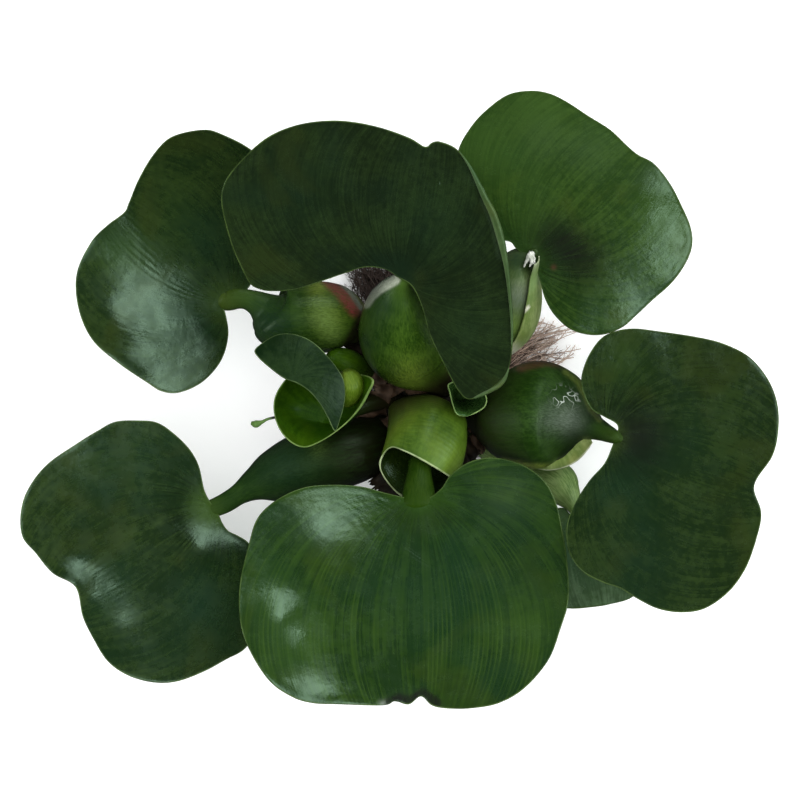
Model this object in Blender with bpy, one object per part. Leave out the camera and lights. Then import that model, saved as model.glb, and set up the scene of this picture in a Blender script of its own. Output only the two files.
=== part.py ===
"""Water hyacinth plant, picked and resting on its root mass. Metres, +Z up.

The origin is on the flat underside of the roots, below the crown. +X is east and +Y is north, and the
leaves are named by the side of the crown that they lean to.

The plant is drawn as it is seen from straight above. A drawn place is (u, v), with u to the right and v
down, and a height in millimetres. `place` carries it along its line of sight to that height.
"""

import math

import bmesh
import bpy
from mathutils import Matrix, Vector

# Driving dimensions
EYE_HEIGHT = 0.65          # the eye that the drawing is made from, above the surface
EYE_X = -0.014             # the eye is a little to the west of the crown
UNITS_PER_METRE = 1611.0   # drawing units that a metre covers at one metre from the eye
DRAWING_MIDDLE = 400.0     # the point of the drawing below the eye, both across and down
MM = 0.001

BLADE_THICKNESS = 0.0012
YOUNG_THICKNESS = 0.001
SHEATH_THICKNESS = 0.0009
MEMBRANE_THICKNESS = 0.0005
GAP = 0.0003               # between pieces that touch
BLADE_RINGS = (0.38, 0.72, 1.0)
CUTTER_SWELL = 1.018       # a blade's outline, drawn out by about one gap
FLOAT_SIDES = 14

ROOT_RADIUS = 0.033
ROOT_HEIGHT = 0.015
CROWN_RADIUS = 0.0105
CROWN_BASE = 0.0153
CROWN_TOP = 0.032

# Colours, as linear red, green and blue
DARK_GREEN = (0.022, 0.052, 0.014)
MID_GREEN = (0.035, 0.085, 0.016)
FLOAT_GREEN = (0.045, 0.11, 0.02)
PALE_GREEN = (0.16, 0.26, 0.07)
YOUNG_GREEN = (0.06, 0.15, 0.01)
BROWN = (0.06, 0.035, 0.022)
ROOT_BROWN = (0.12, 0.075, 0.055)

# Each blade: where the petiole meets it, its apex, and its heights in mm. `rise` is per 100 units along
# the blade, `tilt` per 100 units to its right-hand side, and `cup` and `bow` are for the square of these.
BLADES = {
    "north_west": dict(
        joint=(226, 301), apex=(124, 213), middle=(168, 262), colour=DARK_GREEN,
        height=51, rise=17, tilt=2, cup=7, bow=0,
        outline=(
            (221, 303), (228, 294), (246, 280), (258, 255), (269, 228), (274, 198), (268, 170),
            (251, 150), (223, 135), (203, 130), (172, 137), (154, 154), (139, 179), (129, 203),
            (124, 213), (107, 226), (91, 243), (77, 274), (79, 309), (93, 340), (119, 363),
            (147, 382), (162, 391), (180, 392), (203, 381), (221, 360), (228, 335), (225, 313),
        ),
    ),
    "north": dict(
        joint=(404, 277), apex=(430, 145), middle=(400, 215), colour=DARK_GREEN,
        height=88, rise=17, tilt=-1, cup=1.5, bow=0,
        outline=(
            (398, 277), (385, 269), (365, 267), (345, 272), (320, 279), (290, 282), (262, 277),
            (243, 266), (232, 245), (223, 212), (222, 192), (230, 174), (251, 151), (272, 135),
            (298, 125), (326, 121), (352, 122), (381, 128), (409, 138), (425, 147), (432, 143),
            (440, 142), (456, 149), (470, 166), (487, 196), (503, 236), (510, 279), (513, 326),
            (511, 357), (505, 376), (489, 390), (470, 399), (458, 390), (444, 364), (430, 335),
            (422, 307), (412, 286),
        ),
    ),
    "north_east": dict(
        joint=(530, 257), apex=(635, 153), middle=(575, 215), colour=MID_GREEN,
        height=62, rise=16, tilt=-2, cup=6, bow=0,
        outline=(
            (531, 253), (517, 241), (497, 238), (474, 224), (461, 202), (456, 175), (459, 149),
            (472, 126), (488, 109), (508, 95), (529, 91), (547, 93), (565, 101), (588, 116),
            (610, 130), (627, 146), (638, 155), (654, 164), (670, 184), (681, 205), (690, 226),
            (692, 244), (686, 262), (672, 282), (651, 301), (635, 316), (622, 327), (604, 334),
            (586, 334), (569, 328), (554, 314), (545, 298), (540, 280), (535, 263),
        ),
    ),
    "east": dict(
        joint=(613, 437), apex=(755, 486), middle=(668, 450), colour=DARK_GREEN,
        height=73, rise=13, tilt=-1, cup=5, bow=0,
        outline=(
            (613, 445), (605, 463), (590, 480), (577, 500), (568, 521), (567, 541), (572, 558),
            (585, 573), (605, 583), (620, 588), (635, 597), (657, 608), (681, 612), (705, 608),
            (729, 591), (746, 567), (757, 536), (761, 512), (754, 485), (772, 456), (778, 430),
            (777, 404), (768, 380), (750, 358), (726, 345), (700, 338), (661, 332), (630, 329),
            (605, 336), (590, 354), (582, 376), (584, 393), (592, 409), (605, 417), (617, 424),
            (618, 432),
        ),
    ),
    "south": dict(
        joint=(419, 499), apex=(420, 697), middle=(405, 590), colour=MID_GREEN,
        height=59, rise=9, tilt=0, cup=3, bow=0,
        outline=(
            (412, 499), (385, 493), (362, 487), (333, 485), (303, 488), (277, 500), (258, 518),
            (249, 545), (240, 586), (241, 624), (251, 652), (270, 681), (293, 697), (314, 703),
            (338, 704), (383, 705), (395, 701), (409, 704), (421, 696), (432, 705), (447, 708),
            (470, 708), (498, 703), (524, 688), (548, 660), (560, 629), (568, 600), (567, 563),
            (562, 530), (555, 501), (543, 480), (522, 465), (494, 458), (470, 462), (451, 475),
            (441, 489), (427, 499),
        ),
    ),
    "west": dict(
        joint=(211, 508), apex=(78, 590), middle=(148, 555), colour=DARK_GREEN,
        height=45, rise=11, tilt=0, cup=4, bow=0,
        outline=(
            (209, 505), (205, 490), (200, 465), (190, 447), (173, 431), (157, 423), (141, 421),
            (116, 422), (98, 431), (77, 444), (47, 465), (28, 490), (21, 514), (23, 537),
            (36, 553), (53, 573), (76, 587), (83, 616), (94, 639), (108, 661), (128, 675),
            (153, 682), (177, 681), (204, 671), (226, 659), (245, 648), (260, 625), (266, 595),
            (260, 565), (249, 543), (235, 535), (222, 526), (213, 514),
        ),
    ),
    "south_east": dict(
        joint=(577, 513), apex=(598, 607), middle=(582, 558), colour=MID_GREEN,
        height=27, rise=5, tilt=0, cup=3, bow=0,
        outline=(
            (580, 517), (592, 508), (612, 512), (632, 528), (643, 552), (643, 580), (632, 597),
            (610, 604), (590, 607), (568, 608), (545, 602), (527, 585), (520, 560), (527, 533),
            (545, 515), (562, 508), (573, 517),
        ),
    ),
}

# Each petiole, with the blade that it carries, runs from inside the crown through stations
# (u, v, height in mm, radius in mm).
FLOATS = {
    "float_north_west": (
        FLOAT_GREEN, "north_west",
        ((412, 391, 20.5, 3.2), (390, 351, 26, 4.8), (368, 322, 31, 8.0), (354, 314, 35, 11.6),
         (338, 313, 39, 13.2), (312, 315, 42, 13.6), (284, 318, 45, 13.0), (266, 315, 47, 10.0),
         (256, 305, 48.5, 5.0), (243, 300, 50, 2.5), (225, 299, 51.2, 1.7)),
    ),
    "float_north": (
        FLOAT_GREEN, "north",
        ((446, 390, 31, 3.6), (431, 368, 38, 11.0), (412, 348, 47, 16.0), (403, 332, 57, 16.5),
         (398, 312, 67, 13.0), (398, 294, 76, 8.0), (401, 283, 82, 4.5), (405, 276, 88.0, 2.2)),
    ),
    "float_north_east": (
        PALE_GREEN, "north_east",
        ((452, 387, 25, 3.2), (481, 349, 32, 8.0), (499, 319, 40, 12.4), (507, 294, 48, 11.4),
         (516, 275, 55, 7.0), (524, 264, 59.5, 3.6), (531, 256, 62.2, 2.0)),
    ),
    "float_east": (
        FLOAT_GREEN, "east",
        ((461, 406, 25, 3.2), (489, 415, 30, 11.0), (514, 417, 37, 18.0), (540, 415, 42, 20.0),
         (564, 417, 47, 19.0), (580, 420, 52, 15.5), (591, 426, 57.5, 9.6), (599, 431, 63.5, 4.6),
         (615, 437, 72.6, 2.0)),
    ),
    "petiole_south": (
        PALE_GREEN, "south",
        ((429, 411, 31, 2.6), (428, 418, 38, 3.2), (427, 433, 43, 4.0), (424, 450, 47.5, 4.2),
         (421, 467, 51.5, 4.2), (420, 485, 56, 3.6), (420, 500, 58.8, 2.6)),
    ),
    "float_west": (
        FLOAT_GREEN, "west",
        ((414, 412, 21.5, 3.2), (388, 434, 24, 8.6), (362, 447, 29, 12.5), (332, 456, 33, 13.2),
         (300, 466, 36, 12.2), (272, 477, 39, 10.2), (254, 485, 41, 7.2), (240, 491, 42.5, 5.0),
         (226, 498, 43.7, 3.9), (209, 508, 45, 2.4)),
    ),
    "float_south_east": (
        PALE_GREEN, "south_east",
        ((450, 416, 20.5, 3.2), (497, 452, 17.5, 6.0), (535, 472, 20, 8.0), (560, 482, 24, 9.0),
         (570, 494, 26, 6.5), (575, 505, 26.8, 3.4), (577, 514.5, 27, 2.0)),
    ),
    "petiole_young": (
        FLOAT_GREEN, None,
        ((412, 402, 26.5, 2.3), (381, 402, 33, 3.2), (359, 405, 38, 4.0), (339, 412, 41.8, 3.8),
         (330, 416, 43.7, 2.4)),
    ),
    "bud_round": (
        YOUNG_GREEN, None,
        ((413, 389, 27, 1.5), (388, 382, 30, 2.3), (366, 372, 35, 3.8), (350, 363, 41, 4.8),
         (336, 357, 45, 4.2), (330, 354, 46.5, 2.0)),
    ),
}

# The bud that stands in the young leaf's cup.
BUD_BRIGHT = ((341, 409, 53, 1.8), (345, 402, 56, 4.0), (349, 391, 58.6, 4.8), (350.5, 380, 61.2, 4.0),
              (351, 372, 63.5, 1.5))

# A cup is a thin wall through three closed loops: its foot, its belly and its rim.
YOUNG_CUP = (
    dict(middle=(326, 416, 46.5), across=8, down=8, lean=0),
    dict(middle=(325, 411, 52), across=41, down=29, lean=0),
)
YOUNG_CUP_RIM = (
    (373, 380, 66), (368, 393, 65), (360, 407, 64), (349, 420, 63), (335, 432, 63), (321, 441, 63),
    (306, 447, 64), (294, 444, 66), (283, 434, 68), (276, 420, 69), (274, 405, 70), (277, 393, 71),
    (284, 382, 72.8), (291, 376, 73.2), (306, 374, 66), (324, 377, 58.5), (343, 377, 54.5), (361, 375, 57),
)
YOUNG_LOBE = dict(
    joint=(297, 384), apex=(335, 430), middle=(305, 361), colour=DARK_GREEN,
    height=72.5, rise=-6, tilt=6, cup=-12, bow=-15,
    outline=(
        (335, 431), (328, 418), (320, 404), (309, 391), (297, 383), (284, 378), (269, 367),
        (258, 357), (255, 350), (264, 342), (277, 335), (291, 334), (305, 338), (316, 345),
        (326, 355), (336, 367), (343, 379), (345, 392), (344, 404), (341, 416),
    ),
)
SHEATH = (
    dict(middle=(429, 412, 33.5), across=15, down=11, lean=0),
    dict(middle=(425, 435, 44), across=42, down=28, lean=7),
)
SHEATH_RIM = (
    (392, 447, 53), (405, 451, 57), (419, 458, 59), (433, 466, 58), (446, 474, 54), (454, 481, 49),
    (450, 492, 43), (434, 499, 40), (416, 500, 39), (402, 496, 40), (389, 484, 42), (380, 468, 45),
    (383, 455, 49),
)
FURLED = (
    dict(middle=(460, 396, 33), across=5, down=5, lean=0),
    dict(middle=(467, 397, 47), across=15, down=13, lean=0),
)
FURLED_RIM = (
    (449, 384, 59), (450, 393, 57), (453, 405, 54), (457, 414, 52), (467, 416, 51), (477, 412, 52),
    (485, 406, 53), (486, 397, 55), (479, 388, 58), (464, 381, 60),
)

# The membrane round the east side of the north-east float: each station with its half width in degrees.
MEMBRANE = (
    (481, 349, 32, 8.8, 50), (499, 319, 40, 13.2, 48), (507, 294, 48, 12.2, 40), (515, 276, 55, 8.0, 34),
    (522, 265, 60, 5.6, 26), (527, 256, 65, 4.4, 16),
)
MEMBRANE_SIDE = 80         # degrees round the float from its top

SPROUT_STALK = ((276.7, 417, 58, 0.5), (268, 419, 57, 0.5), (262, 422, 56, 0.7), (256, 424, 56, 1.4),
                (251, 423, 56, 0.6))

# The roots reach further to the north and the north-east, as (compass angle, extra reach, half width).
ROOT_BUNCHES = ((26, 0.031, 18), (117, 0.025, 20), (205, 0.004, 30), (300, 0.005, 32))
ROOT_PROFILE = ((1.0, 0.0), (1.0, 0.18), (0.9, 0.42), (0.68, 0.68), (0.4, 0.92), (0.2, 1.0))
CROWN_PROFILE = ((0.7, 0.0), (0.95, 0.2), (1.0, 0.45), (0.98, 0.75), (0.82, 0.94), (0.5, 1.0))


def place(u, v, height):
    """The point at this height, in mm, on the line of sight through the drawn place (u, v)."""
    reach = (EYE_HEIGHT - height * MM) / UNITS_PER_METRE
    return Vector((EYE_X + (u - DRAWING_MIDDLE) * reach, (DRAWING_MIDDLE - v) * reach, height * MM))


def blade_height(leaf, u, v):
    """The height, in mm, of a blade at a drawn place."""
    axis = Vector((leaf["apex"][0] - leaf["joint"][0], leaf["apex"][1] - leaf["joint"][1])).normalized()
    offset = Vector((u - leaf["joint"][0], v - leaf["joint"][1])) / 100
    along = offset.dot(axis)
    aside = offset.dot(Vector((-axis.y, axis.x)))
    slope = leaf["rise"] * along + leaf["tilt"] * aside
    return leaf["height"] + slope + leaf["cup"] * aside**2 + leaf["bow"] * along**2


def catmull_rom(before, start, end, after, share):
    """The point this share of the way from `start` to `end` on a smooth curve through all four."""
    straight = end - start
    first = (end - before) / 2
    last = (after - start) / 2
    return (
        start
        + first * share
        + (3 * straight - 2 * first - last) * share**2
        + (first + last - 2 * straight) * share**3
    )


def smooth_run(points, steps):
    """Points on a smooth curve through all of these, `steps` to a stretch."""
    padded = [points[0] * 2 - points[1], *points, points[-1] * 2 - points[-2]]
    run = [
        catmull_rom(*padded[i : i + 4], step / steps)
        for i in range(len(points) - 1)
        for step in range(steps)
    ]
    return run + [points[-1]]


def material(name, colour, roughness=0.4):
    """A Principled material, made once for each name."""
    found = bpy.data.materials.get(name)
    if found:
        return found
    made = bpy.data.materials.new(name)
    made.use_nodes = True
    shader = made.node_tree.nodes["Principled BSDF"]
    shader.inputs["Base Color"].default_value = (*colour, 1.0)
    shader.inputs["Roughness"].default_value = roughness
    shader.inputs["Metallic"].default_value = 0.0
    return made


def add_object(name, points, faces, colour, roughness=0.4):
    """An object of this mesh, with its faces turned outwards and shaded smooth."""
    mesh = bpy.data.meshes.new(name)
    mesh.from_pydata(points, [], faces)
    shape = bmesh.new()
    shape.from_mesh(mesh)
    bmesh.ops.recalc_face_normals(shape, faces=shape.faces)
    shape.to_mesh(mesh)
    shape.free()
    mesh.shade_smooth()
    mesh.set_sharp_from_angle(angle=math.radians(50))
    mesh.materials.append(material(name, colour, roughness))
    made = bpy.data.objects.new(name, mesh)
    bpy.context.scene.collection.objects.link(made)
    return made


def ring_faces(rings, sides, start=0):
    """Quads between rings of vertices that follow each other in the mesh."""
    faces = []
    for ring in range(rings - 1):
        low = start + ring * sides
        for i in range(sides):
            after = (i + 1) % sides
            faces.append((low + i, low + after, low + sides + after, low + sides + i))
    return faces


def add_thickness(sheet, thickness):
    """Gives an open sheet its thickness, half to each side."""
    solid = sheet.modifiers.new("Thickness", "SOLIDIFY")
    solid.thickness = thickness
    solid.offset = 0
    return sheet


def add_blade(name, leaf, thickness, swell=1.0):
    """A blade: rings of its own outline, drawn in towards its middle and lifted to the blade's heights."""
    middle = Vector(leaf["middle"])
    points = [place(*middle, blade_height(leaf, *middle))]
    for share in BLADE_RINGS:
        for corner in leaf["outline"]:
            drawn = middle.lerp(Vector(corner), share * swell)
            points.append(place(*drawn, blade_height(leaf, *drawn)))
    sides = len(leaf["outline"])
    faces = [(0, 1 + (i + 1) % sides, 1 + i) for i in range(sides)]
    faces += ring_faces(len(BLADE_RINGS), sides, start=1)
    return add_thickness(add_object(name, points, faces, leaf["colour"], 0.3), thickness)


def frames(stations, steps):
    """Middle, direction, upward side and radius at points along a smooth curve through the stations."""
    middles = smooth_run([place(*station[:3]) for station in stations], steps)
    radii = smooth_run([Vector((station[3] * MM, 0)) for station in stations], steps)
    side = Vector((0, 0, 1))
    found = []
    for i, middle in enumerate(middles):
        forward = (middles[min(i + 1, len(middles) - 1)] - middles[max(i - 1, 0)]).normalized()
        side = (side - forward * side.dot(forward)).normalized()
        found.append((middle, forward, side, radii[i].x))
    return found


def add_petiole(name, colour, stations, sides=FLOAT_SIDES, steps=2):
    """A tube of changing radius along a smooth curve through its stations, closed at both ends."""
    points = []
    for middle, forward, side, radius in frames(stations, steps):
        for corner in range(sides):
            turn = Matrix.Rotation(2 * math.pi * corner / sides, 3, forward)
            points.append(middle + turn @ side * radius)
    faces = ring_faces(len(points) // sides, sides)
    faces += [tuple(range(sides)), tuple(range(len(points) - sides, len(points)))]
    return add_object(name, points, faces, colour)


def add_membrane(name, colour, stations, middle_angle, thickness, columns=6, steps=2):
    """A thin sheet bent round one side of a petiole."""
    widths = smooth_run([Vector((station[4], 0)) for station in stations], steps)
    points = []
    for width, (middle, forward, side, radius) in zip(widths, frames(stations, steps)):
        for column in range(columns + 1):
            angle = middle_angle + width.x * (2 * column / columns - 1)
            points.append(middle + Matrix.Rotation(math.radians(angle), 3, forward) @ side * radius)
    wide = columns + 1
    faces = [
        (start + i, start + i + 1, start + wide + i + 1, start + wide + i)
        for start in range(0, len(points) - wide, wide)
        for i in range(columns)
    ]
    return add_thickness(add_object(name, points, faces, colour), thickness)


def oval(loop, turns):
    """Points of a drawn oval at these angles, `lean` mm higher at its north end than at its middle."""
    u, v, height = loop["middle"]
    return [
        Vector((
            u + loop["across"] * math.cos(turn),
            v - loop["down"] * math.sin(turn),
            height + loop["lean"] * math.sin(turn),
        ))
        for turn in turns
    ]


def add_cup(name, colour, loops, rim, thickness, rings=5, open_foot=False):
    """A thin cup whose wall runs from its foot through its belly to its rim."""
    rim = [Vector(corner) for corner in rim]
    sides = len(rim)
    middle = sum(rim, Vector((0, 0, 0))) / sides
    turns = [math.atan2(middle.y - corner.y, corner.x - middle.x) for corner in rim]
    foot, belly = [oval(loop, turns) for loop in loops]
    points = []
    for ring in range(rings):
        share = ring / (rings - 1)
        for low, mid, top in zip(foot, belly, rim):
            drawn = (
                low * (2 * share - 1) * (share - 1)
                + mid * 4 * share * (1 - share)
                + top * share * (2 * share - 1)
            )
            points.append(place(*drawn))
    faces = ring_faces(rings, sides)
    if not open_foot:
        faces.append(tuple(range(sides)))
    return add_thickness(add_object(name, points, faces, colour), thickness)


def add_turned(name, colour, profile, radius_at, base, top, sides):
    """A lump turned about the crown's axis, whose radius changes with the compass angle."""
    points = []
    for share, level in profile:
        for i in range(sides):
            angle = 2 * math.pi * i / sides
            radius = radius_at(math.degrees(angle)) * share
            points.append((radius * math.cos(angle), radius * math.sin(angle), base + (top - base) * level))
    faces = ring_faces(len(profile), sides)
    faces += [tuple(range(sides)), tuple(range(len(points) - sides, len(points)))]
    return add_object(name, points, faces, colour, 0.8)


def root_reach(angle):
    """How far the roots reach from the crown's axis at this compass angle."""
    reach = ROOT_RADIUS * (1 + 0.03 * math.cos(math.radians(5 * angle)))
    for middle, extra, width in ROOT_BUNCHES:
        turned = (angle - middle + 180) % 360 - 180
        reach += extra * math.exp(-((turned / width) ** 2))
    return reach


def crown_reach(angle):
    """The crown's radius at this compass angle."""
    return CROWN_RADIUS * (1 + 0.05 * math.cos(math.radians(3 * angle)))


def crown_cut_reach(angle):
    """How far from the crown's axis the petioles are cut off."""
    return crown_reach(angle) + GAP


def hide_helper(helper):
    helper.hide_render = True
    helper.display_type = "WIRE"
    helper.hide_set(True)


def join(kept, other):
    """Joins another solid to this one, which makes one closed body of the two."""
    union = kept.modifiers.new("Join", "BOOLEAN")
    union.operation = "UNION"
    union.object = other
    hide_helper(other)


def trim(kept, cutter):
    """Cuts this piece back to the face of a cutter, which stands a gap proud of the piece it stands for."""
    cut = kept.modifiers.new("Trim", "BOOLEAN")
    cut.operation = "DIFFERENCE"
    cut.object = cutter


def build():
    for leftover in list(bpy.data.objects):
        bpy.data.objects.remove(leftover)

    add_turned("roots", ROOT_BROWN, ROOT_PROFILE, root_reach, 0.0, ROOT_HEIGHT, 40)
    add_turned("crown", BROWN, CROWN_PROFILE, crown_reach, CROWN_BASE, CROWN_TOP, 18)
    crown_cutter = add_turned("crown_cutter", BROWN, CROWN_PROFILE, crown_cut_reach,
                              CROWN_BASE - GAP, CROWN_TOP + GAP, 18)
    for side, leaf in BLADES.items():
        add_blade(f"blade_{side}", leaf, BLADE_THICKNESS)
    for name, (colour, side, stations) in FLOATS.items():
        petiole = add_petiole(name, colour, stations)
        trim(petiole, crown_cutter)
        if side:
            blade_cutter = add_blade(f"cutter_{side}", BLADES[side], BLADE_THICKNESS + 2 * GAP, CUTTER_SWELL)
            trim(petiole, blade_cutter)
            hide_helper(blade_cutter)
    membrane = add_membrane("membrane_north_east", PALE_GREEN, MEMBRANE, MEMBRANE_SIDE, MEMBRANE_THICKNESS)
    trim(membrane, bpy.data.objects["cutter_north_east"])
    add_petiole("bud_bright", PALE_GREEN, BUD_BRIGHT)
    add_petiole("sprout", YOUNG_GREEN, SPROUT_STALK, sides=6)

    young_leaf = add_blade("young_leaf", YOUNG_LOBE, YOUNG_THICKNESS)
    join(young_leaf, add_cup("young_cup", YOUNG_GREEN, YOUNG_CUP, YOUNG_CUP_RIM, YOUNG_THICKNESS))
    add_cup("sheath_south", PALE_GREEN, SHEATH, SHEATH_RIM, SHEATH_THICKNESS, open_foot=True)
    furled = add_cup("furled_leaf", MID_GREEN, FURLED, FURLED_RIM, YOUNG_THICKNESS, rings=4)
    trim(furled, crown_cutter)
    hide_helper(crown_cutter)


build()
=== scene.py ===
"""The look of the water hyacinth plant: its leaves, floats, sheaths and roots, with their finishes.

The plant is drawn as it is seen from straight above, so pieces are laid out in drawn places (u, v), with
u to the right and v down, and heights in mm. `place` carries a drawn place to its point in metres. A mark
on a piece is a round spot (u, v, radius, strength) or a soft line (points, half width, strength). Marks
under one name are a point field, which the piece's finish paints in one colour. Many of them are painted
light: painted sheens and highlights, a painted reflection of the sky, and painted shade.
"""

import math

import bmesh
import bpy
import numpy as np
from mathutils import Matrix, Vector


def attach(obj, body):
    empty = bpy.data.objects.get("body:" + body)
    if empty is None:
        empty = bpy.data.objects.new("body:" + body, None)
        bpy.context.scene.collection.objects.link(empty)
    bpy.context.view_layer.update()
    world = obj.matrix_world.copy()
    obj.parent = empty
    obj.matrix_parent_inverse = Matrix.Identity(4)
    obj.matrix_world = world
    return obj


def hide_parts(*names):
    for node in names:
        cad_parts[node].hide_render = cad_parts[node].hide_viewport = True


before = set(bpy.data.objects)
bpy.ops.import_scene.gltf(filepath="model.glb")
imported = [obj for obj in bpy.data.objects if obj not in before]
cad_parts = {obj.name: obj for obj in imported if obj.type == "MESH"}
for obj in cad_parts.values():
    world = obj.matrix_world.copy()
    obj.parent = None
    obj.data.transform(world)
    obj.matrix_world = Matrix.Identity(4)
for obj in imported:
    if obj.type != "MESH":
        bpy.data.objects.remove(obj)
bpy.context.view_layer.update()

EYE_HEIGHT = 0.65          # the eye that the drawing is made from, above the surface
EYE_X = -0.014             # the eye is a little to the west of the crown
UNITS_PER_METRE = 1611.0   # drawing units that a metre covers at one metre from the eye
DRAWING_MIDDLE = 400.0     # the point of the drawing below the eye, both across and down
MM = 0.001
UNIT_MM = 0.37             # a drawing unit at leaf height

BLADE_THICKNESS = 0.85     # thicknesses in mm
MARGIN_THICKNESS = 0.4
YOUNG_THICKNESS = 0.45
SHEATH_THICKNESS = 0.7
MEMBRANE_THICKNESS = 0.4
SCRAP_THICKNESS = 0.25
VEIN_GAP = 1.7             # between a blade's painted veins, in mm
RIB_GAP = 2.2              # between its raised ones
RIB_HEIGHT = 0.025
MARGIN_WAVES = 0.3
MARGIN_CURL = 0.3
SHEATH_RIB_HEIGHT = 0.036
FLOAT_RELIEF = 0.006       # as a share of a float's radius
FLOAT_RIDGES = 34          # round a float
WIDENS_FROM = 0.62         # where a float that flattens begins to, as a share of its length
WIDENS_OVER = 0.3

ROOT_RADIUS = 0.033
ROOT_HEIGHT = 0.015
CROWN_RADIUS = 0.0105
CROWN_BASE = 0.0153
CROWN_TOP = 0.032

# Each blade: where its petiole meets it, its apex, and its heights in mm. `rise` is per 100 units along the
# blade, `tilt` per 100 units to its right-hand side, and `cup` and `bow` are for the square of these.
BLADES = {
    "north_west": dict(
        joint=(226, 301), apex=(124, 213), middle=(163, 282), height=51, rise=17, tilt=2, cup=7, outline=(
            (221, 303), (234, 297), (248, 288), (253, 275), (258, 255), (269, 228), (274, 198),
            (268, 170), (251, 150), (223, 135), (203, 130), (172, 137), (154, 154), (139, 179),
            (129, 203), (124, 213), (107, 226), (91, 243), (77, 274), (79, 309), (93, 340), (119, 363),
            (147, 382), (162, 391), (180, 392), (203, 381), (221, 360), (228, 335), (225, 313),
        )),
    "north": dict(
        joint=(404, 277), apex=(430, 145), middle=(440, 180), height=88, rise=17, tilt=-1, cup=1.5,
        outline=(
            (398, 277), (385, 269), (365, 267), (345, 273), (322, 281), (296, 289), (274, 291),
            (260, 289), (250, 283), (241, 266), (232, 245), (223, 212), (222, 192), (230, 174),
            (251, 151), (272, 135), (298, 125), (326, 121), (352, 122), (381, 128), (409, 138),
            (425, 147), (432, 143), (440, 142), (456, 149), (470, 166), (487, 196), (503, 236),
            (510, 279), (513, 326), (511, 357), (505, 376), (489, 390), (470, 399), (458, 390),
            (444, 364), (430, 335), (422, 307), (412, 286),
        )),
    "north_east": dict(
        joint=(530, 257), apex=(635, 153), middle=(575, 215), height=62, rise=16, tilt=-2, cup=6, outline=(
            (532, 257), (523, 254), (516, 248), (511, 242), (497, 238), (474, 224), (461, 202),
            (456, 175), (459, 149), (472, 126), (488, 109), (508, 95), (529, 91), (547, 93), (565, 101),
            (588, 116), (610, 130), (627, 146), (638, 155), (654, 164), (670, 184), (681, 205),
            (690, 226), (692, 244), (686, 262), (672, 282), (651, 301), (635, 316), (622, 327),
            (604, 334), (586, 334), (569, 328), (554, 314), (545, 298), (540, 280), (535, 263),
        )),
    "east": dict(
        joint=(613, 437), apex=(755, 486), middle=(688, 425), height=73, rise=13, tilt=-1, cup=3.5,
        outline=(
            (613, 445), (605, 463), (590, 480), (577, 500), (568, 521), (567, 541), (572, 558),
            (585, 573), (605, 583), (620, 588), (635, 597), (657, 608), (681, 612), (705, 608),
            (729, 591), (746, 567), (757, 536), (761, 512), (754, 485), (772, 456), (778, 430),
            (777, 404), (768, 380), (750, 358), (726, 345), (700, 338), (661, 332), (630, 329),
            (605, 336), (590, 354), (582, 376), (584, 393), (592, 409), (605, 417), (617, 424),
            (618, 432),
        )),
    "south": dict(
        joint=(419, 499), apex=(420, 697), middle=(440, 572), height=59, rise=9, cup=3, outline=(
            (412, 499), (385, 493), (362, 487), (333, 485), (303, 488), (277, 500), (258, 518),
            (249, 545), (240, 586), (241, 624), (251, 652), (270, 681), (293, 697), (314, 703),
            (338, 704), (383, 705), (395, 701), (409, 704), (421, 696), (432, 705), (447, 708),
            (470, 708), (498, 703), (524, 688), (548, 660), (560, 629), (568, 600), (567, 563),
            (562, 530), (555, 501), (543, 480), (522, 465), (494, 458), (470, 462), (451, 475),
            (441, 489), (427, 499),
        )),
    "west": dict(
        joint=(211, 508), apex=(78, 590), middle=(148, 555), height=45, rise=11, cup=4, outline=(
            (210, 502), (204, 490), (198.5, 466), (188.5, 448.5), (172, 432.5), (157, 423), (141, 421),
            (116, 422), (98, 431), (77, 444), (47, 465), (28, 490), (21, 514), (23, 537), (36, 553),
            (53, 573), (76, 587), (83, 616), (94, 639), (108, 661), (128, 675), (153, 682), (177, 681),
            (204, 671), (226, 659), (245, 648), (260, 625), (266, 595), (260, 565), (249, 544),
            (238, 536), (228, 531), (222, 523), (217, 512),
        )),
    "south_east": dict(
        joint=(577, 513), apex=(598, 607), middle=(577, 580), height=27, rise=5, cup=3, outline=(
            (580, 517), (592, 508), (612, 512), (632, 528), (643, 552), (643, 580), (632, 597),
            (610, 604), (590, 607), (568, 608), (545, 602), (527, 585), (520, 560), (527, 533),
            (545, 515), (562, 508), (573, 517),
        )),
}

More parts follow.
